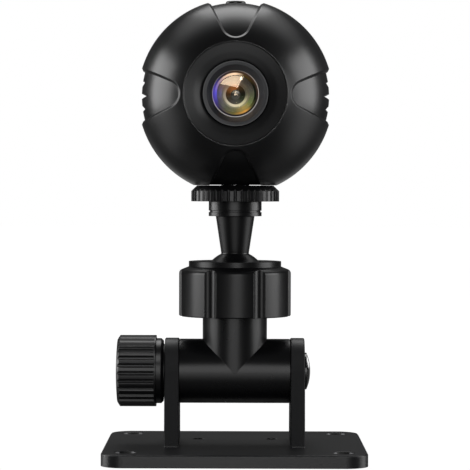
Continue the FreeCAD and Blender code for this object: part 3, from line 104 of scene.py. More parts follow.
def link(lamp, names, state):
    """Light only these pieces with the lamp, or all the others where state is EXCLUDE."""
    group = bpy.data.collections.new(f"{lamp.name}_pieces")
    for name in names:
        group.objects.link(bpy.data.objects[name])
    for member in group.collection_objects:
        member.light_linking.link_state = state
    lamp.light_linking.receiver_collection = group


LENS = ["front_glass", "glass_ring", "aperture_disc", "iris_disc", "inner_lens"]
STAND_PARTS = ["clamp_collar", "socket_body"]
# Name, azimuth, elevation, width, height and strength, then the pieces that the lamp leaves out
ROOM_LIGHTS = [
    ("left_softbox", -103, 12, 38, 40, 4.2, STAND_PARTS),
    ("right_softbox", 96, 14, 38, 44, 3.6, STAND_PARTS),
    ("front_softbox", -4, 4, 36, 32, 1.8, ["clamp_collar", "front_shell", "front_glass"]),
]
# The same, then the pieces that alone see the lamp. The stand's side lights are further in front
CLOSE_LIGHTS = [
    ("stand_left_softbox", -80, 6, 34, 44, 3.8, STAND_PARTS),
    ("stand_right_softbox", 83, 6, 36, 44, 3.2, STAND_PARTS),
    ("collar_front_softbox", 4, 4, 20, 32, 1.9, ["clamp_collar"]),
    ("dish_softbox", 46, -1, 40, 48, 2.2, ["front_shell"]),
    ("dish_fill", 4, 4, 44, 80, 0.15, ["front_shell"]),
    ("edge_softbox", 0, 1, 9, 9, 24.0, ["front_shell"]),
    ("upper_softbox", -4, 47, 40, 26, 2.2, ["clamp_knob", "base_bracket"]),
    ("plate_softbox", 0, -3, 60, 14, 0.9, ["base_bracket"]),
    ("bolt_softbox", 150, 14, 14, 50, 2.4, ["hinge_bolt"]),
    ("coating_softbox", 0, 6, 50, 50, 3.2, ["glass_ring", "aperture_disc", "iris_disc"]),
    ("spark_softbox", 13, 27, 24, 14, 40.0, ["inner_lens"]),
]
# Seen by every piece
BACK_LIGHT = ("back_softbox", 182, 57, 34, 30, 2.0)
# Warm lamps in the lens: as the close ones, with colour and roll before the pieces
LENS_LIGHTS = [
    ("window_softbox", -12, 38, 42, 32, 10.0, (1.0, 0.76, 0.53), -14, LENS),
    ("glint_softbox", 16, 39, 5, 8, 16.0, (1.0, 0.86, 0.62), -30, ["front_glass"]),
]


def add_lights():
    for *place, left_out in ROOM_LIGHTS:
        link(add_softbox(*place), left_out, "EXCLUDE")
    for *place, lit in CLOSE_LIGHTS:
        link(add_softbox(*place), lit, "INCLUDE")
    add_softbox(*BACK_LIGHT)
    for *place, lit in LENS_LIGHTS:
        link(add_softbox(*place), lit, "INCLUDE")


def set_view():
    bpy.context.scene.view_settings.view_transform = "Standard"


class Nodes:
    """The nodes of a material or of the world, with short calls for those that are used often."""

    def __init__(self, owner):
        owner.use_nodes = True
        self.nodes = owner.node_tree.nodes
        self.links = owner.node_tree.links

    def feed(self, socket, value):
        """Give an input a number, a colour or another node's output."""
        if isinstance(value, tuple):
            socket.default_value = (*value, 1)
        elif isinstance(value, (int, float)):
            socket.default_value = value
        else:
            self.links.new(value, socket)

    def math(self, kind, *values):
        node = self.nodes.new("ShaderNodeMath")
        node.operation = kind
        for socket, value in zip(node.inputs, values):
            self.feed(socket, value)
        return node.outputs[0]

    def plus(self, first, second):
        return self.math("ADD", first, second)

    def minus(self, first, second):
        return self.math("SUBTRACT", first, second)

    def times(self, first, second):
        return self.math("MULTIPLY", first, second)

    def span(self, value, first, last, start=0.0, end=1.0):
        """From first to last while the value goes from start to end, and level beyond that stretch."""
        node = self.nodes.new("ShaderNodeMapRange")
        settings = {"Value": value, "From Min": start, "From Max": end, "To Min": first, "To Max": last}
        for socket, setting in settings.items():
            self.feed(node.inputs[socket], setting)
        return node.outputs["Result"]

    def rise(self, value, start, full):
        """0 up to start, and 1 from full on."""
        return self.span(value, 0.0, 1.0, start, full)

    def fall(self, value, start, gone):
        """1 up to start, and 0 from gone on."""
        return self.span(value, 1.0, 0.0, start, gone)

    def band(self, value, start, full, fading, gone):
        """1 from full to fading, and 0 before start and after gone."""
        return self.times(self.rise(value, start, full), self.fall(value, fading, gone))

    def swing(self, value, centre, drift):
        """From drift below the centre to drift above it, as the value goes from 0 to 1."""
        return self.span(value, centre - drift, centre + drift)

    def distance(self, first, second):
        """How far two steps at a right angle lead."""
        return self.math("SQRT", self.plus(self.times(first, first), self.times(second, second)))

    def axes(self, place):
        """The place's X, Y and Z."""
        split = self.nodes.new("ShaderNodeSeparateXYZ")
        self.links.new(place, split.inputs[0])
        return split.outputs

    def seen(self, shown, mirrored):
        """White that a ray meets: shown for the camera's rays, and mirrored for those off a glossy surface.

        Rays through glass count as the camera's, unless they come out after a bounce inside the lens.
        """
        path = self.nodes.new("ShaderNodeLightPath").outputs
        bounces = self.plus(path["Diffuse Depth"], path["Glossy Depth"])
        through = self.minus(path["Is Transmission Ray"], bounces)
        direct = self.math("MAXIMUM", path["Is Camera Ray"], through)
        gloss = self.times(path["Is Glossy Ray"], mirrored)
        return self.math("MAXIMUM", self.times(direct, shown), gloss)


# How bright the room is where the white behind the object is 1
ROOM_STRENGTH = 0.05
# The ceiling begins and is full at these shares of a ray's direction, upwards and to the back
CEILING_UP = (0.55, 0.8)
CEILING_BACK = (0.0, 0.3)


def add_world():
    """White behind the object for the camera, and dim room light with a white ceiling behind for the rest."""
    world = bpy.data.worlds.new("studio")
    sky = Nodes(world)
    sky.nodes.clear()
    back, up = sky.axes(sky.nodes.new("ShaderNodeTexCoord").outputs["Generated"])[1:]
    ceiling = sky.times(sky.rise(up, *CEILING_UP), sky.rise(back, *CEILING_BACK))
    mix = sky.nodes.new("ShaderNodeMixShader")
    sky.links.new(sky.seen(1.0, ceiling), mix.inputs[0])
    for socket, strength in zip(mix.inputs[1:], (ROOM_STRENGTH, 1.0)):
        background = sky.nodes.new("ShaderNodeBackground")
        sky.feed(background.inputs["Color"], WHITE)
        sky.feed(background.inputs["Strength"], strength)
        sky.links.new(background.outputs[0], socket)
    output = sky.nodes.new("ShaderNodeOutputWorld")
    sky.links.new(mix.outputs[0], output.inputs["Surface"])
    bpy.context.scene.world = world


# Materials. From here to the floor lengths are mm, but the scale of a pattern counts per metre.
# A stretch with four numbers begins, is full, begins to fade and is gone at them
GRAIN_STRENGTH = 0.5
EDGE_SAMPLES = 6


class Looks(Nodes):
    """One Principled material with its nodes at hand."""

    def __init__(self, name, **values):
        self.material = bpy.data.materials.new(name)
        super().__init__(self.material)
        self.shader = self.nodes["Principled BSDF"]
        self.place = self.nodes.new("ShaderNodeTexCoord").outputs["Object"]
        for socket, value in values.items():
            self.set(socket, value)

    def set(self, socket, value):
        """Give the shader a number, a colour or a node's output."""
        self.feed(self.shader.inputs[socket], value)

    def mapped(self, scale, shift=(0, 0, 0)):
        """The place on the object, stretched and then shifted."""
        node = self.nodes.new("ShaderNodeMapping")
        node.inputs["Scale"].default_value = scale
        node.inputs["Location"].default_value = shift
        self.links.new(self.place, node.inputs["Vector"])
        return node.outputs[0]

    def place_in_mm(self, origin=Vector()):
        """X, Y and Z in mm from the origin."""
        return self.axes(self.mapped((1 / MM, 1 / MM, 1 / MM), -origin / MM))

    def texture(self, kind, place, **values):
        node = self.nodes.new(kind)
        self.links.new(place, node.inputs["Vector"])
        for socket, value in values.items():
            node.inputs[socket].default_value = value
        return node

    def noise(self, scale, detail=2.0, stretch=None):
        place = self.mapped(stretch) if stretch else self.place
        return self.texture("ShaderNodeTexNoise", place, Scale=scale, Detail=detail).outputs["Fac"]

    def mix(self, share, first, second):
        node = self.nodes.new("ShaderNodeMixRGB")
        for socket, value in zip(node.inputs, (share, first, second)):
            self.feed(socket, value)
        return node.outputs["Color"]

    def clouded(self, cloud, colour, drift):
        """The colour, darker and lighter by this share of it where the cloud is low and high."""
        dark = tuple(part * (1 - drift) for part in colour)
        light = tuple(part * (1 + drift) for part in colour)
        return self.mix(cloud, dark, light)

    def dial(self, clock, tints):
        """Colour round the clock through tints that are (hour, colour), and back to the first."""
        node = self.nodes.new("ShaderNodeValToRGB")
        ramp = node.color_ramp
        stops = [*tints, (12.0, tints[0][1])]
        while len(ramp.elements) < len(stops):
            ramp.elements.new(0.5)
        for element, (hour, colour) in zip(ramp.elements, stops):
            element.position = hour / 12
            element.color = (*colour, 1)
        self.links.new(clock, node.inputs["Fac"])
        return node.outputs["Color"]

    def round_the_lens(self):
        """Turn round the lens axis, 0 at twelve o'clock and clockwise to 1, and distance from it."""
        x, _, z = self.place_in_mm(HEAD)
        angle = self.math("ARCTAN2", self.times(x, -1.0), self.times(z, -1.0))
        return self.rise(angle, -math.pi, math.pi), self.distance(x, z)

    def surface(self, grain, depth, edge):
        """Fine moulded or cast grain with softened edges. The edge may be a socket, or 0 for none."""
        dent = self.nodes.new("ShaderNodeBump")
        dent.inputs["Strength"].default_value = GRAIN_STRENGTH
        dent.inputs["Distance"].default_value = depth * MM
        self.links.new(self.noise(1 / (grain * MM)), dent.inputs["Height"])
        if edge:
            soft = self.nodes.new("ShaderNodeBevel")
            soft.samples = EDGE_SAMPLES
            radius = edge * MM if isinstance(edge, float) else self.times(edge, MM)
            self.feed(soft.inputs["Radius"], radius)
            self.links.new(soft.outputs[0], dent.inputs["Normal"])
        self.set("Normal", dent.outputs["Normal"])


# Moulded plastic: its grain and softened edges, and the soft clouds in its colour and gloss
GRAIN = 0.2
GRAIN_DEPTH = 0.004
EDGE = 0.14
CLOUD_SCALE = 90
FINE_DETAIL = 3.0
COLOUR_DRIFT = 0.08
GLOSS_DRIFT = 0.03


def cloud_over(looks, colour, roughness):
    """Let colour and gloss drift in soft clouds."""
    cloud = looks.noise(CLOUD_SCALE, FINE_DETAIL)
    looks.set("Base Color", looks.clouded(cloud, colour, COLOUR_DRIFT))
    looks.set("Roughness", looks.swing(cloud, roughness, GLOSS_DRIFT))


def moulded(name, colour, roughness, grain=GRAIN, depth=GRAIN_DEPTH, edge=EDGE, **values):
    """Plastic, paint or metal with a slight drift of its colour and an uneven gloss."""
    looks = Looks(name, **values)
    cloud_over(looks, colour, roughness)
    looks.surface(grain, depth, edge)
    return looks.material


# Distances from the lens axis at which the front shell's dish has softer edges, and how soft they are
DISH_KNEE = (7.9, 8.4, 9.8, 10.4)
KNEE_EDGE = 1.2
DISH_RIM = (10.7, 11.0, 12.0, 12.3)
RIM_EDGE = 0.2


def front_plastic(name, colour, roughness):
    """Shell plastic whose dish runs smoothly over its knee and has a soft rim."""
    looks = Looks(name)
    cloud_over(looks, colour, roughness)
    reach = looks.round_the_lens()[1]
    knee = looks.span(looks.band(reach, *DISH_KNEE), EDGE, KNEE_EDGE)
    rim = looks.times(looks.band(reach, *DISH_RIM), RIM_EDGE)
    looks.surface(GRAIN, GRAIN_DEPTH, looks.plus(knee, rim))
    return looks.material


# Base bracket: the corner screws' places across and along from its middle, the stretches of radius and
# height where their countersinks end, and the distances beside a screw's middle where glints are painted
SCREW_PLACE = (23.8, 18.5)
COUNTERSINK_RIM = (2.8, 3.0)
COUNTERSINK_TOP = (2.6, 2.75)
GLINT_SPOTS = (1.2, 1.6, 2.0, 2.4)
# Painted shade darkening the countersinks, and the colour of the painted glints in them
COUNTERSINK_SHADE = (0.002, 0.002, 0.002)
GLINT_COLOUR = (0.24, 0.24, 0.25)
# The heights at which the coat is duller, its satin and dull roughness and specular level, and its clouds
DULL_HEIGHTS = (2.85, 3.0, 24, 27)
COAT_ROUGHNESS = (0.34, 0.58)
COAT_SPECULAR = (0.5, 0.2)
COAT_CLOUD_SCALE = 110
COAT_DRIFT = 0.12


def bracket_coat(name, colour):
    """Baked coat, satin on the plate and on the ears' round ends and duller between.

    The countersinks are painted darker as shade, with painted glints at the left and right of each screw.
    """
    looks = Looks(name)
    cloud = looks.noise(COAT_CLOUD_SCALE, FINE_DETAIL)
    x, y, height = looks.place_in_mm()
    across = looks.minus(looks.math("ABSOLUTE", x), SCREW_PLACE[0])
    along = looks.minus(looks.math("ABSOLUTE", y), SCREW_PLACE[1])
    inside = looks.fall(looks.distance(across, along), *COUNTERSINK_RIM)
    countersink = looks.times(inside, looks.fall(height, *COUNTERSINK_TOP))
    # Painted glints at both sides of each screw, and painted shade in the rest of the countersink
    glints = looks.band(looks.math("ABSOLUTE", across), *GLINT_SPOTS)
    shade_and_glints = looks.mix(glints, COUNTERSINK_SHADE, GLINT_COLOUR)
    looks.set("Base Color", looks.mix(countersink, looks.clouded(cloud, colour, COAT_DRIFT), shade_and_glints))
    dull = looks.band(height, *DULL_HEIGHTS)
    roughness = looks.span(dull, *COAT_ROUGHNESS)
    looks.set("Roughness", looks.plus(roughness, looks.swing(cloud, 0.0, GLOSS_DRIFT)))
    looks.set("Specular IOR Level", looks.span(dull, *COAT_SPECULAR))
    looks.surface(grain=0.12, depth=0.006, edge=0.16)
    return looks.material


def brushed(name, colour, roughness, stretch):
    """Drawn or turned metal: fine lines along one direction in colour and gloss."""
    line_scale = 900
    darkest = 0.85
    gloss_drift = 0.06
    looks = Looks(name, Metallic=1.0)
    lines = looks.noise(line_scale, FINE_DETAIL, stretch)
    looks.set("Base Color", looks.mix(lines, tuple(part * darkest for part in colour), colour))
    looks.set("Roughness", looks.swing(lines, roughness, gloss_drift))
    looks.surface(grain=0.15, depth=0.003, edge=0.1)
    return looks.material


def circuit_board(name):
    """Green solder mask over paler tracks, with tinned pads."""
    dark_mask = (0.004, 0.045, 0.016)
    light_mask = (0.006, 0.060, 0.022)
    over_tracks = (0.012, 0.11, 0.04)
    tin = (0.50, 0.50, 0.47)
    pad_size = 0.16
    looks = Looks(name, **{"Coat Weight": 0.3})
    tracks = looks.texture("ShaderNodeTexBrick", looks.place, **{"Scale": 420, "Mortar Size": 0.035})
    pads = looks.texture("ShaderNodeTexVoronoi", looks.place, Scale=600)
    dots = looks.math("LESS_THAN", pads.outputs["Distance"], pad_size)
    mask = looks.mix(looks.noise(scale=160), dark_mask, light_mask)
    lined = looks.mix(tracks.outputs["Fac"], mask, over_tracks)
    looks.set("Base Color", looks.mix(dots, lined, tin))
    looks.set("Metallic", dots)
    looks.set("Roughness", looks.span(looks.noise(scale=200), first=0.28, last=0.38))
    looks.surface(grain=0.3, depth=0.01, edge=0.0)
    return looks.material


def foil_pouch(name):
    """Battery: silver laminate with an amber tape band round the middle."""
    dark_foil = (0.42, 0.43, 0.44)
    light_foil = (0.52, 0.53, 0.54)
    amber = (0.45, 0.20, 0.02)
    half_tape = 3.5
    looks = Looks(name)
    tape = looks.math("LESS_THAN", looks.math("ABSOLUTE", looks.place_in_mm()[0]), half_tape)
    foil = looks.mix(looks.noise(scale=250), dark_foil, light_foil)
    looks.set("Base Color", looks.mix(tape, foil, amber))
    looks.set("Metallic", looks.span(tape, first=0.9, last=0.0))
    looks.set("Roughness", looks.span(looks.noise(scale=300), first=0.25, last=0.42))
    looks.surface(grain=0.8, depth=0.03, edge=0.3)
    return looks.material


def antenna_film(name):
    """Amber film with copper meanders."""
    amber = (0.30, 0.13, 0.01)
    copper = (0.70, 0.32, 0.14)
    line_start = 0.6
    looks = Looks(name)
    waves = looks.texture("ShaderNodeTexWave", looks.place, Scale=260, Distortion=0.0)
    waves.bands_direction = "Z"
    lines = looks.math("GREATER_THAN", waves.outputs["Fac"], line_start)
    looks.set("Base Color", looks.mix(lines, amber, copper))
    looks.set("Metallic", lines)
    looks.set("Roughness", looks.span(looks.noise(scale=400), first=0.3, last=0.4))
    looks.surface(grain=0.4, depth=0.004, edge=0.0)
    return looks.material


# Clear glass, and the film on it that tints what it mirrors
GLASS_COLOUR = (0.96, 0.97, 0.94)
GLASS_IOR = 1.52
FILM_IOR = 1.9


def coated_glass(name, film, **values):
    """Clear lens glass under a film that is this many nanometres thick, or 0 for none."""
    glass = {"Base Color": GLASS_COLOUR, "Transmission Weight": 1.0, "IOR": GLASS_IOR}
    coating = {"Thin Film Thickness": film, "Thin Film IOR": FILM_IOR}
    looks = Looks(name, **{**glass, **coating, **values})
    looks.set("Roughness", looks.span(looks.noise(scale=300), first=0.0, last=0.015))
    return looks.material


# Lens parts: half the blend between two zones, the phase of the turned lines for each mm, how much they
# darken, and the drift of the gloss
ZONE_BLEND = 0.04
TURNED_LINES = 46.0
LINE_SHADE = 0.22
LENS_GLOSS_DRIFT = 0.04


def lens_colours_and_reflections(name, inmost, zones, roughness, specular=0.5):
    """Surface inside the lens whose colour changes round the clock and with the radius, mostly painted
    reflections.

    inmost are the colours at the middle, and zones are (radius where they begin, colours) from there out.
    """
    looks = Looks(name, **{"Specular IOR Level": specular})
    clock, reach = looks.round_the_lens()
    colour = looks.dial(clock, inmost)
    for start, tints in zones:
        share = looks.rise(reach, start - ZONE_BLEND, start + ZONE_BLEND)
        colour = looks.mix(share, colour, looks.dial(clock, tints))
    turned = looks.math("SINE", looks.times(reach, TURNED_LINES))
    looks.set("Base Color", looks.mix(looks.span(turned, 0.0, LINE_SHADE, -1.0, 1.0), colour, (0, 0, 0)))
    looks.set("Roughness", looks.swing(looks.noise(scale=500), roughness, LENS_GLOSS_DRIFT))
    looks.surface(grain=0.1, depth=0.003, edge=0.04)
    return looks.material


# Floor, in metres: its half width, how far it lies under the object, and its own colour
FLOOR_REACH = 3.0
FLOOR_DROP = 0.0001
FLOOR_COLOUR = (0.12, 0.12, 0.12)
# Its white, its sheen, and how the glow that pieces mirror rises and falls again: each from a first to
# a last value while the distance from the object's middle goes from a start to an end
FLOOR_WHITE = (0.96, 1.0, 0.06, 0.2)
FLOOR_SHEEN = (0.5, 0.0, 0.1, 0.18)
GLOW_RISE = (0.1, 0.9, 0.08, 0.2)
GLOW_FALL = (1.0, 0.3, 0.28, 0.5)
# The glow in front and behind and that at the sides, and how sharply it ends towards the diagonals
GLOW_AROUND = (0.7, 1.0)
GLOW_SHARPNESS = 3.0


def add_floor():
    """White glossy floor that keeps the object's soft shadow.

    Pieces mirror it dimly close to the object and far away. Between, it is bright in front and behind,
    brightest at both sides, and dark in the diagonals.
    """
    mesh = bpy.data.meshes.new("floor")
    corners = [(-1, -1), (1, -1), (1, 1), (-1, 1)]
    mesh.from_pydata([(x * FLOOR_REACH, y * FLOOR_REACH, 0) for x, y in corners], [], [(0, 1, 2, 3)])
    floor = bpy.data.objects.new("floor", mesh)
    floor.location.z = -FLOOR_DROP
    bpy.context.scene.collection.objects.link(floor)
    looks = Looks("white_floor", Roughness=0.2, **{"Base Color": FLOOR_COLOUR, "Emission Color": WHITE})
    x, y, _ = looks.axes(looks.place)
    across = looks.times(x, x)
    along = looks.times(y, y)
    square = looks.plus(across, along)
    reach = looks.math("SQRT", square)
    # 1 at both sides, -1 in front and behind, and 0 in the diagonals
    lean = looks.math("DIVIDE", looks.minus(across, along), square)
    beams = looks.math("POWER", looks.math("ABSOLUTE", lean), GLOW_SHARPNESS)
    beams = looks.times(beams, looks.span(lean, *GLOW_AROUND, start=-1.0, end=1.0))
    near_and_far = looks.times(looks.span(reach, *GLOW_RISE), looks.span(reach, *GLOW_FALL))
    glow = looks.times(near_and_far, beams)
    looks.set("Specular IOR Level", looks.span(reach, *FLOOR_SHEEN))
    looks.set("Emission Strength", looks.seen(looks.span(reach, *FLOOR_WHITE), glow))
    looks.material.cycles.emission_sampling = "NONE"
    mesh.materials.append(looks.material)


# Turned pieces: steps round the axis, the distance at which two points are one, and the angle up to which
# an edge is smooth
STEPS_ROUND = 96
SAME_POINT = 0.00001 * MM
SMOOTH_ANGLE = 25


def add_turned(name, material, outline):
    """Piece turned about the lens axis from (radius, place along Y) points in mm, closed round."""
    mesh = bpy.data.meshes.new(name)
    shape = bmesh.new()
    rings = []
    for step in range(STEPS_ROUND):
        turn = 2 * math.pi * step / STEPS_ROUND
        rings.append([
            shape.verts.new((radius * MM * math.sin(turn), along * MM, HEAD.z + radius * MM * math.cos(turn)))
            for radius, along in outline])
    for step, ring in enumerate(rings):
        after = rings[(step + 1) % STEPS_ROUND]
        for place in range(len(outline)):
            beyond = (place + 1) % len(outline)
            shape.faces.new((ring[place], after[place], after[beyond], ring[beyond]))
    bmesh.ops.remove_doubles(shape, verts=shape.verts, dist=SAME_POINT)
    bmesh.ops.recalc_face_normals(shape, faces=shape.faces)
    shape.to_mesh(mesh)
    shape.free()
    mesh.materials.append(material)
    piece = bpy.data.objects.new(name, mesh)
    bpy.context.scene.collection.objects.link(piece)
    mesh.shade_smooth()
    mesh.set_sharp_from_angle(angle=math.radians(SMOOTH_ANGLE))
    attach(piece, "head")


# Iris and small lens behind the aperture disc, inside the tunnel of the barrel. All in mm
TUNNEL_RADIUS = 3.15
IRIS_FRONT = -12.75
IRIS_STEPS = [1.98, 1.72, 1.48, 1.24, 1.0]
IRIS_BEVEL_WIDTH = 0.05
IRIS_BEVEL_DEPTH = 0.08
STEP_DEPTH = 0.1
STEP_WIDTH = 0.2
STEP_SLOPE = 0.02
IRIS_THICKNESS = 0.2
INNER_LENS_RADIUS = 0.97
INNER_LENS_CURVE = 2.3
INNER_LENS_RIM = IRIS_FRONT + 0.42
INNER_LENS_BACK = INNER_LENS_RIM + 0.3
LENS_GAP = 0.01
BEAD_SIZE = 0.1
BEAD_BEVEL = 0.05
DOME_STEPS = 12


def add_iris():
    """Stepped disc with the small dark lens in its hole."""
    hole = INNER_LENS_RADIUS + LENS_GAP
    outline = [(TUNNEL_RADIUS, IRIS_FRONT), (IRIS_STEPS[0] + IRIS_BEVEL_WIDTH, IRIS_FRONT)]
    for step, radius in enumerate(IRIS_STEPS):
        tread = IRIS_FRONT + IRIS_BEVEL_DEPTH + STEP_DEPTH * step
        outline += [(radius, tread), (max(radius - STEP_WIDTH, hole), tread + STEP_SLOPE)]
    back = outline[-1][1] + IRIS_THICKNESS
    outline += [(hole, back), (TUNNEL_RADIUS, back)]
    add_turned("iris_disc", IRIS, outline)


def dome_depth(radius):
    """How far the small lens's dome lies behind its tip at this radius."""
    return INNER_LENS_CURVE - math.sqrt(INNER_LENS_CURVE ** 2 - radius ** 2)


def add_inner_lens():
    """Domed front lens of the inner group, with a bead round its rim."""
    bead = [
        (INNER_LENS_RADIUS, INNER_LENS_BACK),
        (INNER_LENS_RADIUS, INNER_LENS_RIM - BEAD_BEVEL),
        (INNER_LENS_RADIUS - BEAD_BEVEL, INNER_LENS_RIM - BEAD_SIZE),
    ]
    tip = INNER_LENS_RIM - dome_depth(INNER_LENS_RADIUS)
    dome = []
    for step in range(DOME_STEPS, -1, -1):
        radius = (INNER_LENS_RADIUS - BEAD_SIZE) * step / DOME_STEPS
        dome.append((radius, tip + dome_depth(radius)))
    add_turned("inner_lens", INNER_LENS, [*bead, *dome, (0.0, INNER_LENS_BACK)])


def paint(node, material):
    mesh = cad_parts[node].data
    mesh.materials.clear()
    mesh.materials.append(material)


SHELL_BLACK = (0.0052, 0.0053, 0.0058)
STAND_BLACK = (0.0052, 0.0053, 0.0060)

SHELL = moulded("shell_plastic", SHELL_BLACK, 0.29)
FRONT_SHELL = front_plastic("front_shell_plastic", SHELL_BLACK, 0.29)
KNOB = moulded("knob_plastic", STAND_BLACK, 0.28, edge=0.25)
STAND = moulded("stand_plastic", STAND_BLACK, 0.28)
BRACKET = bracket_coat("bracket_coat", (0.0105, 0.0108, 0.0118))
BOLT = moulded("bolt_black", (0.003, 0.003, 0.0035), 0.16, depth=0.002, **{"Coat Weight": 0.5})
STEEL = brushed("zinc_steel", (0.42, 0.42, 0.43), 0.30, (1, 1, 14))
BRASS = brushed("brass", (0.62, 0.43, 0.17), 0.28, (1, 1, 12))
NYLON = moulded("nylon", (0.62, 0.61, 0.56), 0.45, grain=0.3, **{"Subsurface Weight": 0.1})
DARK_NYLON = moulded("dark_nylon", (0.012, 0.012, 0.013), 0.42)
SENSOR = moulded("sensor_glass", (0.010, 0.010, 0.022), 0.12, **{"Coat Weight": 1.0})
SWITCH = moulded("switch_body", (0.02, 0.02, 0.02), 0.35)
SOCKET = brushed("socket_steel", (0.52, 0.52, 0.53), 0.26, (10, 1, 1))
FRAME_PLASTIC = moulded("frame_plastic", (0.020, 0.020, 0.022), 0.5)
BUTTON = moulded("button_plastic", (0.0048, 0.0050, 0.0056), 0.26)
BOARD = circuit_board("circuit_board")
BATTERY = foil_pouch("battery_pouch")
ANTENNA = antenna_film("antenna_film")
FRONT_GLASS = coated_glass("front_glass", 0.0, **{"IOR": 1.22, "Coat Weight": 1.0, "Coat IOR": 1.6})
INNER_GLASS = coated_glass("inner_glass", 240.0)
FILTER_GLASS = coated_glass("filter_glass", 150.0, **{"Base Color": (0.55, 0.85, 0.80)})

# Painted reflections round the lens, each (hour, colour): a warm painted highlight above, violet at the left,
# green and yellow below right
IRIS_REFLECTIONS = [
    (0.0, (0.40, 0.15, 0.04)), (1.0, (0.05, 0.03, 0.010)), (2.5, (0.008, 0.008, 0.002)),
    (4.0, (0.008, 0.016, 0.003)), (6.0, (0.008, 0.010, 0.003)), (8.0, (0.016, 0.012, 0.004)),
    (9.3, (0.05, 0.024, 0.008)), (11.0, (0.45, 0.18, 0.05))]
THROAT_REFLECTIONS = [
    (0.0, (0.50, 0.34, 0.23)), (1.0, (0.26, 0.20, 0.14)), (2.2, (0.12, 0.12, 0.10)),
    (3.2, (0.14, 0.16, 0.13)), (4.2, (0.34, 0.38, 0.30)), (5.2, (0.42, 0.46, 0.38)),
    (7.0, (0.42, 0.46, 0.46)), (9.0, (0.40, 0.40, 0.40)), (10.5, (0.50, 0.36, 0.28))]
LIP_REFLECTIONS = [
    (0.0, (0.50, 0.38, 0.28)), (1.2, (0.15, 0.13, 0.10)), (2.4, (0.10, 0.11, 0.10)),
    (4.0, (0.12, 0.14, 0.11)), (5.0, (0.16, 0.18, 0.12)), (6.0, (0.12, 0.14, 0.11)),
    (7.2, (0.12, 0.15, 0.14)), (8.4, (0.17, 0.18, 0.19)), (9.2, (0.20, 0.21, 0.30)),
    (10.3, (0.45, 0.32, 0.28))]
BAND_REFLECTIONS = [
    (0.0, (0.50, 0.40, 0.30)), (1.2, (0.12, 0.10, 0.08)), (2.4, (0.085, 0.095, 0.095)),
    (4.0, (0.09, 0.14, 0.06)), (5.0, (0.24, 0.20, 0.06)), (6.0, (0.075, 0.085, 0.035)),
    (7.2, (0.055, 0.070, 0.060)), (8.4, (0.10, 0.11, 0.18)), (9.2, (0.19, 0.20, 0.50)),
    (10.3, (0.45, 0.31, 0.28))]
RING_REFLECTIONS = [
    (0.0, (0.90, 0.72, 0.55)), (0.8, (0.06, 0.04, 0.01)), (2.2, (0.006, 0.008, 0.006)),
    (3.5, (0.006, 0.009, 0.006)), (4.3, (0.06, 0.07, 0.03)), (5.0, (0.42, 0.24, 0.06)),
    (6.2, (0.09, 0.09, 0.03)), (8.0, (0.03, 0.03, 0.08)), (9.1, (0.08, 0.075, 0.60)),
    (10.2, (0.26, 0.20, 0.32)), (11.3, (0.85, 0.66, 0.50))]
GAP_REFLECTIONS = [
    (0.0, (0.05, 0.03, 0.02)), (4.0, (0.01, 0.01, 0.01)), (7.5, (0.01, 0.01, 0.02)),
    (8.6, (0.05, 0.04, 0.30)), (9.4, (0.06, 0.05, 0.40)), (10.6, (0.02, 0.02, 0.03))]
SILVER_REFLECTIONS = [
    (0.0, (0.10, 0.09, 0.08)), (3.0, (0.32, 0.33, 0.36)), (7.0, (0.34, 0.38, 0.44)),
    (9.0, (0.16, 0.16, 0.28))]
# Painted light and shade on the lens barrel: the cone lighter at the right and darker at the left, the rim
# darker towards the lower right
CONE_LIGHT_AND_SHADE = [
    (0.0, (0.090, 0.092, 0.100)), (3.0, (0.170, 0.174, 0.186)), (5.0, (0.080, 0.082, 0.088)),
    (7.5, (0.030, 0.032, 0.040)), (9.5, (0.032, 0.036, 0.050)), (10.8, (0.075, 0.078, 0.090))]
RIM_LIGHT_AND_SHADE = [(0.0, (0.19, 0.193, 0.20)), (4.0, (0.15, 0.153, 0.16)), (8.0, (0.20, 0.203, 0.21))]
# The small inner lens's dark glass and its beige rings, nearly the same round the clock
LENS_DARK = [(0.0, (0.004, 0.004, 0.003)), (6.0, (0.003, 0.004, 0.002))]
LENS_BEIGE = [(0.0, (0.045, 0.038, 0.028)), (6.0, (0.035, 0.034, 0.024))]

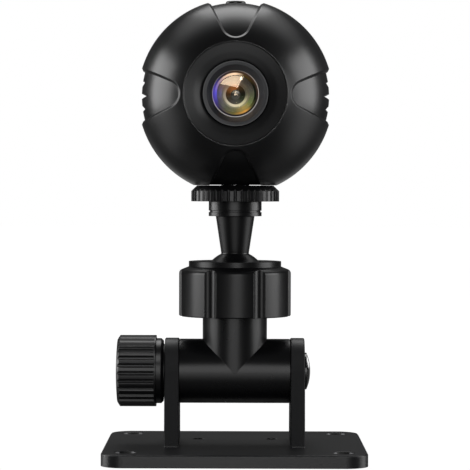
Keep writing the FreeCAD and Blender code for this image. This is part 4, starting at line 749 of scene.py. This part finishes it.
# The aperture disc, iris and glass ring carry painted reflections in their colour, and the barrel painted
# light and shade
DISC = lens_colours_and_reflections("aperture_painted_reflections", THROAT_REFLECTIONS, [(2.55, LIP_REFLECTIONS), (2.9, BAND_REFLECTIONS)], 0.5, specular=0.0)
IRIS = lens_colours_and_reflections("iris_painted_reflections", IRIS_REFLECTIONS, [(1.98, THROAT_REFLECTIONS)], 0.4, specular=0.0)
RING = lens_colours_and_reflections("ring_painted_reflections", RING_REFLECTIONS, [(4.55, GAP_REFLECTIONS), (4.97, SILVER_REFLECTIONS)], 0.4, specular=0.0)
LENS_BLACK = lens_colours_and_reflections("lens_black", CONE_LIGHT_AND_SHADE, [(6.3, RIM_LIGHT_AND_SHADE)], 0.36)
INNER_LENS = lens_colours_and_reflections("inner_lens_glass", LENS_DARK, [
    (0.60, LENS_BEIGE), (0.68, LENS_DARK), (0.90, LENS_BEIGE)], 0.2, specular=1.0)

LOOKS = {
    SHELL: ["rear_shell"],
    FRONT_SHELL: ["front_shell"],
    STAND: ["socket_body", "clamp_collar", "ball_stem", "lock_nut"],
    KNOB: ["clamp_knob"],
    BRACKET: ["base_bracket"],
    BOLT: ["hinge_bolt"],
    STEEL: ["threaded_stud", "shell_screws"],
    BRASS: ["knob_nut", "tripod_insert"],
    NYLON: ["ball_seat", "seat_ring"],
    DARK_NYLON: ["thrust_washer"],
    LENS_BLACK: ["lens_barrel"],
    RING: ["glass_ring"],
    DISC: ["aperture_disc"],
    FRONT_GLASS: ["front_glass"],
    INNER_GLASS: ["rear_lens"],
    FILTER_GLASS: ["infrared_filter"],
    BOARD: ["sensor_board", "main_board", "button_board"],
    SENSOR: ["image_sensor"],
    SWITCH: ["button_switch"],
    SOCKET: ["usb_socket", "card_socket"],
    BATTERY: ["battery"],
    FRAME_PLASTIC: ["lens_holder", "inner_frame"],
    ANTENNA: ["wireless_antenna"],
    BUTTON: ["power_button", "switch_plunger"],
}

add_camera()
set_view()
add_world()
add_iris()
add_inner_lens()
add_lights()
add_floor()
for material, nodes in LOOKS.items():
    for node in nodes:
        paint(node, material)

# Light reaches what lies behind the front glass
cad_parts["front_glass"].visible_shadow = False
